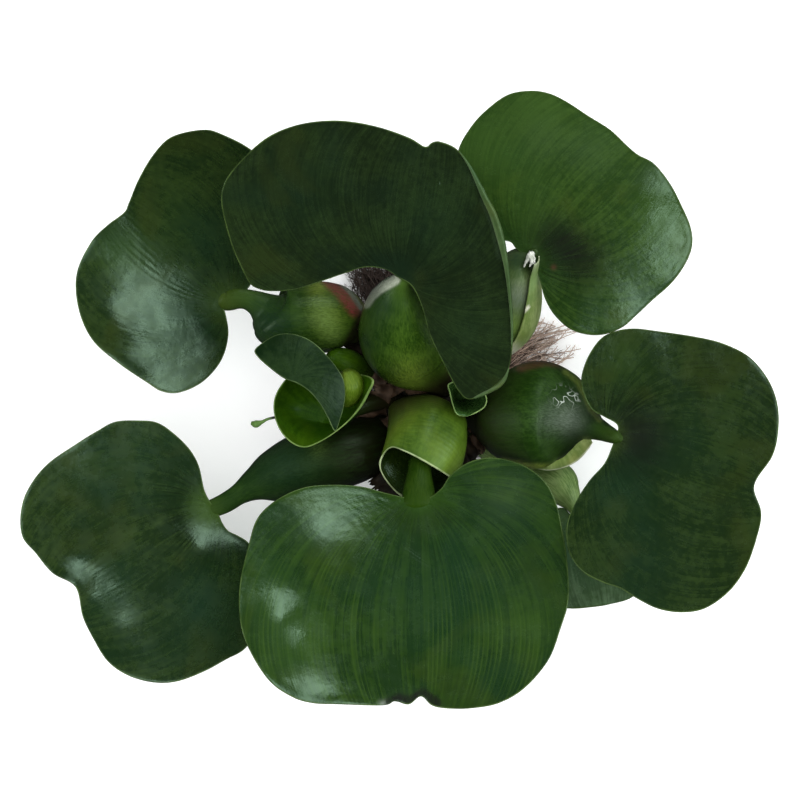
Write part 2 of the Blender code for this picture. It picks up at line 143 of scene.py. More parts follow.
# Each petiole, with the blade that it carries, runs from inside the crown through stations
# (u, v, height in mm, radius in mm).
FLOATS = {
    "float_north_west": ("north_west", (
        (412, 391, 20.5, 3.2), (390, 353, 26, 4.8), (368, 331, 31, 6.4), (352, 323, 35, 9),
        (336, 318, 39, 12.6), (316, 317, 42, 13.6), (294, 317.5, 44.5, 13), (283, 318, 45.5, 12.2),
        (275, 316.5, 46.3, 10.6), (269, 312.5, 47, 8), (263, 307.5, 47.8, 5.4), (256, 303, 48.8, 3.9),
        (247, 299.5, 49.6, 3), (238, 298.5, 50.2, 2.8), (226, 300.5, 50.6, 2.6),
    )),
    "float_north": ("north", (
        (446, 390, 31, 3.6), (431, 368, 38, 11), (412, 348, 47, 16), (403, 332, 57, 16.5),
        (398, 312, 67, 13), (398, 294, 76, 8), (401, 284, 81, 4.4), (407, 274, 86, 2),
    )),
    "float_north_east": ("north_east", (
        (452, 387, 25, 3.2), (481, 349, 32, 8), (499, 319, 40, 12.4), (507, 294, 48, 11.4),
        (515, 273, 54.5, 8.6), (521, 261, 58.5, 5.4), (530, 256, 61.5, 2.2),
    )),
    "float_east": ("east", (
        (461, 406, 25, 3.2), (489, 415, 30, 11), (514, 417, 37, 18.2), (540, 415, 41.5, 20.4),
        (560, 416, 45, 17.8), (573, 418.5, 48.5, 12.6), (583, 422, 53, 7.6), (592, 426.5, 59, 4.9),
        (602, 431, 66, 3.6), (614, 436.5, 72.4, 2.6),
    )),
    "petiole_south": ("south", (
        (429, 411, 31, 2.6), (428, 418, 38, 3.2), (427, 433, 43, 4), (424, 450, 47.5, 4.2),
        (420, 467, 51.5, 4.4), (419, 485, 55.2, 4.2), (419, 500, 57.4, 3.2),
    )),
    "float_west": ("west", (
        (414, 412, 21.5, 3.2), (388, 434, 24, 8.6), (362, 447, 29, 12.5), (332, 456, 33, 13.2),
        (300, 466, 36, 12.2), (272, 477, 39, 9.6), (254, 485, 41, 5.4), (240, 493.5, 42.2, 3),
        (226, 502.5, 43.2, 2.2), (212, 509, 43.9, 1.6),
    )),
    "float_south_east": ("south_east", (
        (450, 416, 20.5, 3.2), (497, 452, 17.5, 6), (534, 472, 20, 7.8), (556, 483, 24, 8.4),
        (566, 494, 26, 6), (573, 505, 26.8, 3.4), (577, 514.5, 27, 2),
    )),
    "petiole_young": (None, (
        (412, 402, 26.5, 2.3), (381, 402, 33, 3.2), (359, 405, 38, 4), (339, 412, 41.8, 3.8),
        (330, 416, 43.7, 2.4),
    )),
    "bud_round": (None, (
        (413, 389, 27, 1.5), (390, 383, 30, 2), (371, 374, 34.5, 2.6), (357, 366, 39.5, 4.4),
        (345, 361, 43.5, 4.9), (335, 358, 46.5, 3.9), (328, 356, 48, 1.8),
    )),
}

# The bud that stands in the young leaf's cup.
BUD_BRIGHT = (
    (342, 404, 54, 1.6), (345, 398, 56, 4.4), (348.5, 388, 58.6, 5.6), (349, 379, 61, 4.8),
    (347.5, 371, 63.5, 1.6),
)

# A cup is a thin wall through three closed loops. Its foot and its belly are ovals, each with its middle,
# its half width, its half height as drawn, and how far its north end leans up in mm. Its rim is drawn.
YOUNG_CUP = ((326, 416, 46.5, 8, 8, 0), (320, 408, 52, 35, 22, 0))
YOUNG_CUP_RIM = (
    (373, 380, 66), (368, 393, 65), (360, 407, 64), (349, 420, 63), (335, 432, 63), (321, 441, 63),
    (306, 447, 64), (294, 444, 66), (283, 434, 68), (276, 420, 69), (274, 405, 70), (277, 393, 70.5),
    (284, 382, 70.5), (291, 376, 69.5), (306, 374, 66), (324, 377, 58.5), (343, 377, 54.5),
    (361, 375, 57),
)
YOUNG_LOBE = dict(
    joint=(297, 384), apex=(335, 430), middle=(305, 361), height=72.5, rise=-6, tilt=6, cup=-12, bow=-15,
    outline=(
        (335, 431), (328, 418), (320, 404), (309, 391), (297, 383), (284, 378), (269, 367), (258, 357),
        (255, 350), (264, 342), (277, 335), (291, 334), (305, 338), (316, 345), (326, 355), (336, 367),
        (343, 379), (345, 392), (344, 404), (341, 416),
    ))
SHEATH = ((420, 411, 33.5, 31, 15, 0), (427, 435, 44, 39, 28, 7))
SHEATH_RIM = (
    (392, 447, 53), (405, 451, 57), (419, 458, 59), (433, 466, 58), (446, 474, 54), (454, 481, 49),
    (450, 492, 43), (434, 499, 40), (416, 500, 39), (402, 496, 40), (389, 484, 42), (380, 468, 45),
    (383, 455, 49),
)
FURLED = ((460, 396, 33, 5, 5, 0), (467, 397, 47, 15, 13, 0))
FURLED_RIM = (
    (449, 384, 59), (450, 393, 57), (453, 405, 54), (457, 414, 52), (467, 416, 51), (477, 412, 52),
    (485, 406, 53), (486, 397, 55), (479, 388, 58), (464, 381, 60),
)

# The membrane round the east side of the north-east float: each station with its half width in degrees.
MEMBRANE = (
    (481, 349, 32, 8.8, 50), (500, 320, 40, 13.2, 50), (509, 296, 48, 12.6, 46), (517, 278, 55, 9.2, 44),
    (523, 266, 60, 6, 42), (528, 256, 65, 4.2, 34),
)
MEMBRANE_SIDE = 90         # degrees round the float from its top
MEMBRANE_PALE = (
    (529, 257, 8, 1.3), (523, 268, 5, 0.8), (512, 352, 9, 0.6),
    (((521, 313), (524, 311), (528, 307)), 1.8, 0.8),
)
# The lip of membrane low on the east float, as two runs of (u, v, height).
LIP_OUTER = ((532, 468, 42), (550, 470, 43), (565, 467, 45), (577, 461, 47.5), (586.5, 451.5, 51),
             (592.5, 442.5, 55.5))
LIP_INNER = ((532, 462, 43), (549, 462, 45), (562, 458, 47), (571, 450, 50), (579, 442, 54), (589, 436, 58))

SPROUT_STALK = (
    (276.7, 417, 58, 0.5), (268, 419, 57, 0.5), (262, 422, 56, 0.7), (256, 424, 56, 1.4),
    (251, 423, 56, 0.6),
)

# The roots reach further to the north and the north-east, as (compass angle, extra reach, half width).
ROOT_BUNCHES = ((26, 0.031, 18), (117, 0.025, 20), (205, 0.004, 30), (300, 0.005, 32))
ROOT_PROFILE = ((1, 0), (1, 0.18), (0.9, 0.42), (0.68, 0.68), (0.4, 0.92), (0.2, 1))
CROWN_PROFILE = ((0.7, 0), (0.95, 0.2), (1, 0.45), (0.98, 0.75), (0.82, 0.94), (0.5, 1))


def vectors(*parts):
    """An array of vectors from their parts, each a number or an array."""
    return np.stack(np.broadcast_arrays(*parts), axis=-1)


def unit(ways):
    """These vectors at a length of one."""
    return ways / np.maximum(np.linalg.norm(ways, axis=-1, keepdims=True), 1e-12)


def place(places, height=None):
    """Points in metres on the lines of sight through drawn places (u, v), at these heights in mm. Heights
    may be the places' third part instead."""
    places = np.asarray(places, float)
    height = (places[..., 2] if height is None else height) * MM
    reach = (EYE_HEIGHT - height) / UNITS_PER_METRE
    east = EYE_X + (places[..., 0] - DRAWING_MIDDLE) * reach
    return vectors(east, (DRAWING_MIDDLE - places[..., 1]) * reach, height)


def drawn(points):
    """The drawn places (u, v) of points in metres."""
    reach = (EYE_HEIGHT - points[..., 2]) / UNITS_PER_METRE
    return vectors(DRAWING_MIDDLE + (points[..., 0] - EYE_X) / reach,
                   DRAWING_MIDDLE - points[..., 1] / reach)


def smooth_run(points, steps, closed=False):
    """Points on a smooth curve through all of these, `steps` to a stretch."""
    points = np.asarray(points, float)
    if closed:
        padded = np.vstack([points[-1:], points, points[:2]])
    else:
        padded = np.vstack([2 * points[0] - points[1], points, 2 * points[-1] - points[-2]])
    count = len(padded) - 3
    before, start, end, after = [padded[i : i + count, None] for i in range(4)]
    share = (np.arange(steps) / steps)[None, :, None]
    straight = end - start
    first = (end - before) / 2
    last = (after - start) / 2
    run = start + first * share + (3 * straight - 2 * first - last) * share**2
    run = (run + (first + last - 2 * straight) * share**3).reshape(-1, points.shape[1])
    return run if closed else np.vstack([run, points[-1:]])


def station_run(stations, steps):
    """The middles and the radii, in metres, of a smooth run through stations (u, v, height, radius)."""
    stations = np.asarray(stations, float)
    run = smooth_run(np.hstack([place(stations), stations[:, 3:] * MM]), steps)
    return run[:, :3], run[:, 3:]


def distance_to_run(places, run):
    """How far drawn places lie from a run of drawn points, in drawing units."""
    flat = places.reshape(-1, 2)
    nearest = np.full(len(flat), 1e9)
    for start, end in zip(run[:-1], run[1:]):
        step = end - start
        share = np.clip((flat - start) @ step / max(step @ step, 1e-9), 0, 1)
        nearest = np.minimum(nearest, np.hypot(*(flat - start - share[:, None] * step).T))
    return nearest.reshape(places.shape[:-1])


def marked(places, marks):
    """How strongly marks show at drawn places: spots add up, and the strongest of the soft lines shows."""
    round_marks = np.zeros(places.shape[:-1])
    lines = np.zeros(places.shape[:-1])
    for mark in marks:
        if len(mark) == 4:
            u, v, radius, strength = mark
            away = (places[..., 0] - u) ** 2 + (places[..., 1] - v) ** 2
            round_marks += strength * np.exp(-away / radius**2)
        else:
            points, half_width, strength = mark
            away = distance_to_run(places, np.asarray(points, float))
            lines = np.maximum(lines, strength * np.exp(-((away / half_width) ** 4)))
    return round_marks + lines


def painted(places, paint, share=1.0):
    """Point fields for marks under the names of their paints."""
    return {name: np.clip(marked(places, marks) * share, 0, 1) for name, marks in (paint or {}).items()}


def folds(places, marks):
    """Heights in mm of soft folds (u, v, compass angle, softness, half width, mm per 100 units): the
    surface turns up by that slope beyond the place, in that direction."""
    height = np.zeros(places.shape[:-1])
    for u, v, compass, soft, wide, slope in marks:
        way = np.array([math.cos(math.radians(compass)), -math.sin(math.radians(compass))])
        east = places[..., 0] - u
        south = places[..., 1] - v
        beyond = east * way[0] + south * way[1]
        aside = east * way[1] - south * way[0]
        height += slope / 100 * soft * np.logaddexp(0, beyond / soft) * np.exp(-((aside / wide) ** 2))
    return height


# Meshes


def grid_faces(rows, columns, wrap=True):
    """Quads between the rows of a grid of vertices."""
    row, column = np.meshgrid(np.arange(rows - 1), np.arange(columns if wrap else columns - 1),
                              indexing="ij")
    low = row * columns
    after = (column + 1) % columns
    return vectors(low + column, low + after, low + columns + after, low + columns + column).reshape(-1, 4)


def ring_fan(centre, start, columns, turned=False):
    """Triangles from a centre vertex to a ring of vertices."""
    pairs = [(start + i, start + (i + 1) % columns) for i in range(columns)]
    return [(centre, after, here) if turned else (centre, here, after) for here, after in pairs]


def grid_normals(grid, wrap):
    """Unit normals of a grid of points."""
    if wrap:
        across = np.roll(grid, -1, axis=1) - np.roll(grid, 1, axis=1)
    else:
        across = np.gradient(grid, axis=1)
    return unit(np.cross(across, np.gradient(grid, axis=0)))


def spread_fields(fields, grid, more):
    """Point fields with a row for each point of a grid, and then the rows that `more` takes from each."""
    full = {}
    for name, values in fields.items():
        values = np.broadcast_to(values, grid.shape[:2] + values.shape[2:]).reshape(*grid.shape[:2], -1)
        full[name] = np.vstack([values.reshape(grid[..., 0].size, -1), *more(values)])
    return full


def add_object(name, data):
    """A new object in the scene."""
    thing = bpy.data.objects.new(name, data)
    bpy.context.scene.collection.objects.link(thing)
    return thing


def add_piece(name, points, faces, materials, fields, face_materials=None, replaces=()):
    """A mesh object with its materials and point fields, which rides on the plant."""
    mesh = bpy.data.meshes.new(name)
    mesh.from_pydata(points.tolist(), [], faces)
    for made in materials:
        mesh.materials.append(made)
    if face_materials:
        mesh.polygons.foreach_set("material_index", face_materials)
    for field, values in fields.items():
        kind, part = ("FLOAT_VECTOR", "vector") if values.shape[1] == 3 else ("FLOAT", "value")
        mesh.attributes.new(field, kind, "POINT").data.foreach_set(part, values.astype(np.float32).ravel())
    shape = bmesh.new()
    shape.from_mesh(mesh)
    bmesh.ops.recalc_face_normals(shape, faces=shape.faces)
    shape.to_mesh(mesh)
    shape.free()
    mesh.shade_smooth()
    piece = add_object(name, mesh)
    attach(piece, "root")
    if replaces:
        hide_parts(*replaces)


def add_sheet(name, slot, grid, thickness, materials, fields, wrap=True, capped=True, flip=False,
              replaces=()):
    """A thin closed sheet on both sides of a grid. Its second material is for the back, which faces down
    unless it's flipped."""
    rows, columns = grid.shape[:2]
    count = rows * columns
    normals = grid_normals(grid, wrap)
    if (normals[..., 2].mean() < 0) != flip:
        normals = -normals
    half = np.broadcast_to(thickness, (rows, columns))[..., None] * MM / 2
    rim = grid[-1] + unit(grid[-1] - grid[-2]) * half[-1] * 0.9
    points = [(grid + normals * half).reshape(-1, 3), (grid - normals * half).reshape(-1, 3), rim]

    top = grid_faces(rows, columns, wrap)
    column = np.arange(columns if wrap else columns - 1)
    after = (column + 1) % columns
    low = (rows - 1) * columns
    rim_start = 2 * count
    parts = [
        (0, top), (1, top[:, ::-1] + count),
        (0, vectors(low + column, low + after, rim_start + after, rim_start + column)),
        (0, vectors(rim_start + column, rim_start + after, count + low + after, count + low + column)),
    ]
    if capped:
        points += [grid[0].mean(axis=0) + normals[0].mean(axis=0) * half[0, 0] * sign for sign in (1, -1)]
        centre = rim_start + columns
        parts += [(0, ring_fan(centre, 0, columns)), (1, ring_fan(centre + 1, count, columns, True))]
    else:
        parts.append((1, vectors(column, after, count + after, count + column)))
    if not wrap:
        row = np.arange(rows - 1) * columns
        for side in (0, columns - 1):
            strip = vectors(row, row + columns, count + row + columns, count + row) + side
            parts += [(0, strip), (0, [(low + side, rim_start + side, count + low + side)])]
    faces = [face for _, part in parts for face in np.asarray(part).tolist()]
    kinds = [kind for kind, part in parts for _ in part]
    full = spread_fields(fields, grid, lambda values: (
        values.reshape(count, -1), values[-1], *[values[0].mean(axis=0)] * (2 if capped else 0)))
    add_piece(name, np.vstack(points), faces, materials, full, kinds, replaces)


def add_strip(name, slot, made, grid, thickness, fields, replaces=()):
    """A thin closed sheet with four sides and one finish."""
    add_sheet(name, slot, grid, thickness, [made, made], fields, wrap=False, capped=False,
              replaces=replaces)


def add_rings(name, made, grid, ends, fields, replaces):
    """A tube of rings, closed at both ends round these two points."""
    rows, columns = grid.shape[:2]
    count = rows * columns
    faces = grid_faces(rows, columns).tolist()
    faces += ring_fan(count, 0, columns, True) + ring_fan(count + 1, count - columns, columns)
    full = spread_fields(fields, grid, lambda values: (values[0].mean(axis=0), values[-1].mean(axis=0)))
    add_piece(name, np.vstack([grid.reshape(-1, 3), ends]), faces, [made], full, replaces=replaces)


def tube_frames(middles):
    """Two sides, square to a run of points and to each other. The first starts downwards."""
    ways = unit(np.gradient(middles, axis=0))
    sides = []
    side = np.array([0.0, 0.0, -1.0])
    for way in ways:
        side = unit(side - way * (side @ way))
        sides.append(side)
    return np.array(sides)[:, None], np.cross(ways, sides)[:, None]


def add_tube(name, slot, made, stations, steps, sides, bump=None, paint=None, wide=1.0, replaces=()):
    """A tube through stations. `bump` gives the share added to its radius, and `wide` how much wider than
    high it is at its far end."""
    middles, radii = station_run(stations, steps)
    first, second = tube_frames(middles)
    around = 2 * np.pi * np.arange(sides)[None] / sides
    length = np.append(0, np.cumsum(np.linalg.norm(np.diff(middles, axis=0), axis=1)))[:, None]
    along = length / length[-1]
    radius = radii * (1 + (bump(along, around) if bump else 0))
    spread = first * np.cos(around)[..., None] + second * np.sin(around)[..., None]
    wider = (wide - 1) * np.clip((along[..., None] - WIDENS_FROM) / WIDENS_OVER, 0, 1) ** 2
    swept = spread + second * np.sin(around)[..., None] * wider
    grid = middles[:, None] + swept * radius[..., None]
    fields = {
        "grain": vectors(np.cos(around) * 14, np.sin(around) * 14, length / MM * 0.3), "along": along,
        "up": spread[..., 2], **painted(drawn(grid), paint, np.clip(spread[..., 2] * 4 + 1.4, 0, 1)),
    }
    add_rings(name, made, grid, [middles[0], middles[-1]], fields, replaces)


# Finishes


class Finish:
    """A material whose nodes are joined up by plain calls, and whose colour is painted on in layers."""

    def __init__(self, name, **sockets):
        self.material = bpy.data.materials.new(name)
        self.material.use_nodes = True
        self.nodes = self.material.node_tree.nodes
        self.links = self.material.node_tree.links
        self.shader = self.nodes["Principled BSDF"]
        self.put_all(self.shader, **sockets)

    def put(self, socket, value):
        """Joins an output to a socket, or sets the socket to a number or a colour."""
        if isinstance(value, bpy.types.NodeSocket):
            self.links.new(value, socket)
        else:
            socket.default_value = (*value, 1.0) if np.ndim(value) else value

    def put_all(self, node, **sockets):
        """Puts values in a node's named sockets, with _ for the spaces."""
        for name, value in sockets.items():
            self.put(node.inputs[name.replace("_", " ")], value)

    def node(self, kind, *values, output=0, **settings):
        """An output of a new node, with these values in its first sockets."""
        node = self.nodes.new("ShaderNode" + kind)
        for setting, value in settings.items():
            setattr(node, setting, value)
        for socket, value in zip(node.inputs, values):
            self.put(socket, value)
        return node.outputs[output]

    def field(self, name, output="Fac"):
        """A point field of the mesh."""
        return self.node("Attribute", attribute_name=name, output=output)

    def position(self):
        return self.node("TexCoord", output="Object")

    def noise(self, vector, scale, detail=3.0, rough=0.55, distort=0.0):
        output = self.node("TexNoise", vector, output="Fac")
        self.put_all(output.node, Scale=scale, Detail=detail, Roughness=rough, Distortion=distort)
        return output

    def compute(self, operation, first, second=0.0, clamp=False):
        return self.node("Math", first, second, operation=operation, use_clamp=clamp)

    def chain(self, operation, values, clamp):
        """All the values joined by one operation. Only the last result is clamped."""
        total = values[0]
        for i, value in enumerate(values[1:], 2):
            total = self.compute(operation, total, value, clamp and i == len(values))
        return total

    def add(self, *values, clamp=False):
        return self.chain("ADD", values, clamp)

    def times(self, *values, clamp=False):
        return self.chain("MULTIPLY", values, clamp)

    def ease(self, value, low, high, to_low=0.0, to_high=1.0):
        """Carries the range low to high smoothly to another one."""
        return self.node("MapRange", value, low, high, to_low, to_high, interpolation_type="SMOOTHSTEP")

    def mix(self, factor, first, second):
        """A mix of two colours."""
        return self.node("MixRGB", factor, first, second)

    def paint(self, amount, colour):
        """Paints a colour over what has been painted so far."""
        self.colour = self.mix(amount, self.colour, colour)

    def done(self, height=None, depth_mm=0.1, **sockets):
        """The material, with its painted colour, and with these heights as bump."""
        if height is not None:
            sockets["Normal"] = self.node("Bump", output="Normal")
            self.put_all(sockets["Normal"].node, Strength=1.0, Distance=depth_mm * MM, Height=height)
        self.put_all(self.shader, Base_Color=self.colour, **sockets)
        return self.material


def leaf_finish(name, dark, light, marks=(), fan=(0.035, 0.06, 0.008), fan_reach=24.0, fan_strength=0.0,
                rim=(0.045, 0.075, 0.018), rim_width=0.2, roughness=0.21, streaks=0.28, lines=0.22,
                bump=0.1, gloss=0.5, veins=0.2, vein_colour=None, mottle=0.2, rays=0.5):
    """A leaf's finish: greens in blotches and streaks along the veins, thin lighter veins, dark rays and a
    yellow-green fan at the joint, a thin margin line, and marks in their own colours, which include painted
    sheens and painted shade."""
    made = Finish(name, Specular_IOR_Level=gloss, Specular_Tint=(0.68, 1.0, 0.74))
    spot = made.position()
    grain = made.field("grain", "Vector")
    streak = made.noise(grain, 1.0, 3)
    broad = made.noise(grain, 0.42, 2)
    fine = made.noise(grain, 3.2, 2)
    tone = made.add(
        made.ease(made.noise(spot, 55, 4), 0.3, 0.7, -0.3, 0.5),
        made.ease(streak, 0.3, 0.7, -streaks, streaks),
        made.ease(fine, 0.35, 0.65, -lines, lines),
        made.ease(broad, 0.35, 0.65, -0.7 * streaks, 0.7 * streaks),
        made.ease(made.noise(spot, 520, 3, 0.6), 0.36, 0.64, -mottle, mottle), 0.28, clamp=True)
    made.colour = made.mix(tone, dark, light)
    made.paint(made.ease(made.noise(spot, 24, 2), 0.5, 0.68, 0.0, 0.6), np.multiply(dark, (0.8, 1.08, 1.7)))
    warm = made.ease(made.noise(spot, 36, 3, 0.5, 0.7), 0.53, 0.68, 0.0, 0.4)
    made.paint(warm, np.multiply(light, (1.35, 1.0, 0.7)))
    ripple = made.compute("SINE", made.add(made.field("vein"), made.times(streak, 3.0)))
    patches = made.ease(made.noise(spot, 40, 2), 0.4, 0.6, 0.15, 1.0)
    broken = made.times(patches, made.ease(broad, 0.4, 0.6, 0.2, 1.0))
    thin = made.times(made.ease(ripple, 0.2, 0.95), broken, veins)
    made.paint(thin, vein_colour or np.multiply(light, 1.7))
    reach = made.field("reach")
    close = made.times(made.ease(reach, 3.0, 8.0), made.ease(reach, 12.0, 30.0, 1.0, 0.0))
    ray = made.ease(made.noise(grain, 2.0, 2), 0.47, 0.6)
    made.paint(made.times(ray, close, rays), np.multiply(dark, 0.45))
    if fan_strength:
        near = made.ease(reach, 2.0, fan_reach, 1.0, 0.0)
        made.paint(made.times(near, made.ease(streak, 0.3, 0.7, 0.55, 1.2), fan_strength, clamp=True), fan)
    mark_patchiness = made.ease(fine, 0.3, 0.7, 0.7, 1.15)
    for field, colour in marks:
        made.paint(made.times(made.field(field), mark_patchiness, clamp=True), colour)
    line = made.ease(made.field("edge"), rim_width * 0.5, rim_width * 1.7, 1.0, 0.0)
    made.paint(made.times(line, made.ease(made.noise(spot, 120, 3), 0.35, 0.65, 0.3, 1.0)), rim)
    rough = made.ease(made.noise(spot, 150, 4, 0.65), 0.3, 0.7, roughness - 0.045, roughness + 0.095)
    height = made.add(made.times(fine, 0.25), made.times(made.noise(spot, 700, 2), 0.15),
                      made.times(made.noise(spot, 230, 4), 1.6))
    return made.done(height, bump, Roughness=rough)


def float_finish(name, dark, light, marks=(), roughness=0.28, streaks=0.3, root=(0.014, 0.011, 0.005),
                 root_share=0.3, neck=(0.05, 0.1, 0.015), gloss=0.25):
    """A float's finish: satin green, striped lengthwise, and dark brown where it leaves the crown, partly
    its own colour and partly painted shade of the crown. Its sides that face down get painted shade, and
    its marks include painted sheens and a painted reflection of the sky.
    """
    made = Finish(name, Specular_IOR_Level=gloss, Specular_Tint=(0.75, 1.0, 0.66))
    spot = made.position()
    grain = made.field("grain", "Vector")
    along = made.field("along")
    blotch = made.noise(spot, 80, 3)
    streak = made.noise(grain, 1.0, 3)
    fine = made.noise(grain, 2.8, 2)
    tone = made.add(
        made.ease(blotch, 0.3, 0.7, -0.25, 0.45), made.ease(streak, 0.3, 0.7, -streaks, streaks),
        made.ease(fine, 0.35, 0.65, -0.3, 0.3), 0.35, clamp=True)
    made.colour = made.mix(tone, dark, light)
    # Dark brown towards the crown end: partly the stalk's own brown, partly painted shade where the crown
    # shades it.
    if root:
        low = made.ease(along, root_share * 0.3, root_share, 1.0, 0.0)
        made.paint(made.times(low, made.ease(streak, 0.3, 0.7, 0.8, 1.3), clamp=True), root)
    if neck:
        made.paint(made.ease(along, 0.82, 0.97, 0.0, 0.85), neck)
    middling = made.compute("ABSOLUTE", made.compute("SUBTRACT", made.noise(spot, 330, 1), 0.5))
    thin_line = made.ease(middling, 0.006, 0.035, 1.0, 0.0)
    mark_patchiness = made.ease(fine, 0.35, 0.65, 0.45, 1.2)
    for field, colour in marks:
        broken = thin_line if field == "pale_squiggle" else mark_patchiness
        made.paint(made.times(made.field(field), broken, clamp=True), colour)
    # Painted shade: the sides of the float that face down are darker.
    made.paint(made.ease(made.field("up"), -0.2, 0.6, 0.55, 0.0), np.multiply(dark, 0.3))
    height = made.add(made.times(fine, 0.8), made.times(made.noise(spot, 900, 2), 0.3))
    return made.done(height, Roughness=made.ease(blotch, 0.3, 0.7, roughness - 0.04, roughness + 0.1))


def fibre_finish(name, dark, light, tip=None, roughness=0.7):
    """A dull finish for roots and old scraps."""
    made = Finish(name, Specular_IOR_Level=0.3, Roughness=roughness)
    spot = made.position()
    tone = made.add(made.ease(made.noise(spot, 300, 3), 0.3, 0.7),
                    made.ease(made.noise(spot, 60, 2), 0.3, 0.7, -0.3, 0.3), clamp=True)
    made.colour = made.mix(tone, dark, light)
    if tip:
        made.paint(made.ease(made.field("along"), 0.5, 1.0, 0.0, 0.85), tip)
    return made.done()


# Leaves

# Where a blade's rows lie on the way from its middle to its outline. They close up towards the outline.
SHARES = np.append(0.003, 1 - (1 - np.linspace(0, 1, 46)[1:]) ** 1.45)[:, None]


def blade_axis(leaf):
    """The drawn direction from a blade's joint to its apex."""
    axis = np.subtract(leaf["apex"], leaf["joint"])
    return axis / np.hypot(*axis)


def blade_height(leaf, u, v):
    """The height, in mm, of a blade at drawn places."""
    axis = blade_axis(leaf)
    east = (u - leaf["joint"][0]) / 100
    south = (v - leaf["joint"][1]) / 100
    along = east * axis[0] + south * axis[1]
    aside = south * axis[0] - east * axis[1]
    slope = leaf["rise"] * along + leaf.get("tilt", 0) * aside
    return leaf["height"] + slope + leaf["cup"] * aside**2 + leaf.get("bow", 0) * along**2


def vein_places(leaf, places):
    """How far from the midline each place's vein runs, in mm, and how far along it the place is."""
    axis = blade_axis(leaf)
    start = leaf["joint"] - axis * 4
    end = leaf["joint"] + np.subtract(leaf["apex"], leaf["joint"]) * 1.38
    to_start = start - places
    to_end = end - places
    far = np.hypot(*(end - start))
    from_start = np.maximum(np.linalg.norm(to_start, axis=-1), 0.5)
    from_end = np.maximum(np.linalg.norm(to_end, axis=-1), 0.5)
    opening = np.arccos(np.clip((to_start * to_end).sum(-1) / from_start / from_end, -1, 1))
    aside = (places[..., 1] - start[1]) * axis[0] - (places[..., 0] - start[0]) * axis[1]
    bulge = far / 2 / np.tan(np.maximum(opening, 0.12) / 2)
    vein = np.sign(aside) * np.minimum(bulge, far * 3)
    return vein * UNIT_MM, from_start / (from_start + from_end)


def leaf_places(leaf, steps, shares):
    """A blade's drawn places from its middle to its outline, their heights and veins, and its fields."""
    outline = smooth_run(leaf["outline"], steps, closed=True)
    places = leaf["middle"] + shares[..., None] * (outline - leaf["middle"])
    edge = distance_to_run(places, np.vstack([outline, outline[:1]])) * UNIT_MM
    vein, along = vein_places(leaf, places)
    fields = {"edge": edge, "along": along, "vein": vein * 2 * np.pi / VEIN_GAP}
    return places, blade_height(leaf, places[..., 0], places[..., 1]), vein, fields


def add_blade(side, leaf, top, under, steps=8, paint=None, relief=(), bends=(), pleats=()):
    """A blade in full detail: a smooth outline, fine corrugation along its veins, and a curled margin."""
    places, height, vein, fields = leaf_places(leaf, steps, SHARES)
    edge = fields["edge"]
    joint_u, joint_v = leaf["joint"]
    reach = np.hypot(places[..., 0] - joint_u, places[..., 1] - joint_v) * UNIT_MM
    height = height + marked(places, relief) + folds(places, bends)
    compass = np.degrees(np.arctan2(joint_v - places[..., 1], places[..., 0] - joint_u))
    for middle_angle, spread, period, far, wide, size in pleats:
        aside = (compass - middle_angle + 180) % 360 - 180
        window = np.exp(-((aside / spread) ** 2) - ((reach - far) / wide) ** 2)
        height = height + size * window * np.cos(360 / period * np.radians(aside) + 0.12 * reach)
    turn = np.arctan2(places[..., 1] - leaf["middle"][1], places[..., 0] - leaf["middle"][0])
    phase = leaf["height"]
    waves = np.sin(5 * turn + phase) + 0.6 * np.sin(11 * turn + 2 * phase)
    height = height + MARGIN_WAVES * SHARES**3 * waves
    calm = np.clip(reach / 10, 0, 1) * np.clip(edge / 2, 0, 1)
    height = height + RIB_HEIGHT * np.cos(2 * np.pi * vein / RIB_GAP) * calm
    height = height + MARGIN_CURL * np.exp(-edge / 0.9)
    grain = vectors(vein * 0.5, fields["along"] * 2.0, 0.0)
    fields |= {"grain": grain, "reach": reach, **painted(places, paint)}
    thick = MARGIN_THICKNESS + (BLADE_THICKNESS - MARGIN_THICKNESS) * np.clip(edge / 3, 0, 1)
    add_sheet(f"leaf_{side}", "blade", place(places, height), thick, [top, under], fields,
              replaces=(f"blade_{side}",))


def add_young_lobe(top, under):
    """The lobe that stands up beside the young leaf's cup."""
    places, height, vein, fields = leaf_places(YOUNG_LOBE, 8, SHARES[::2])
    fields["grain"] = vectors(vein * 0.8, fields["along"] * 3, 0.0)
    add_sheet("young_lobe", "young_leaf", place(places, height), YOUNG_THICKNESS, [top, under], fields,
              replaces=("young_leaf",))


def add_turned_margin(name, made, leaf, outer, inner, lift):
    """A strip of a blade's margin that is turned up and inwards, so that its underside shows."""
    outer = smooth_run(outer, 10)[:, None]
    inner = smooth_run(inner, 10)[:, None]
    share = np.linspace(0, 1, 9)[None]
    places = outer + (inner - outer) * (share - 0.16 * np.sin(np.pi * share))[..., None]
    height = blade_height(leaf, places[..., 0], places[..., 1])
    roll = np.sin(np.pi * np.minimum(share, 0.72))
    taper = np.minimum(np.linalg.norm(inner - outer, axis=-1) / 4, 1)
    run = np.linspace(0, 30, len(outer))[:, None]
    fields = {"grain": vectors(run * 0.3, share * 4, 0.0), "edge": (1 - share) * 3}
    grid = place(places, height + 0.3 + lift * roll * taper)
    add_strip(name, "blade", made, grid, MARGIN_THICKNESS, fields)


def lengthwise(phase):
    """The share that fine ridges along a float, and slow lumps, add to its radius."""
    def bump(along, around):
        low = np.clip(along / 0.15, 0, 1) * np.clip((1 - along) / 0.25, 0, 1)
        lumps = np.sin(3 * around + 9 * along + phase) + 0.6 * np.sin(5 * around - 14 * along + 2 * phase)
        return FLOAT_RELIEF * low * (np.cos(FLOAT_RIDGES * around + 2 * np.sin(3 * along)) + lumps)
    return bump


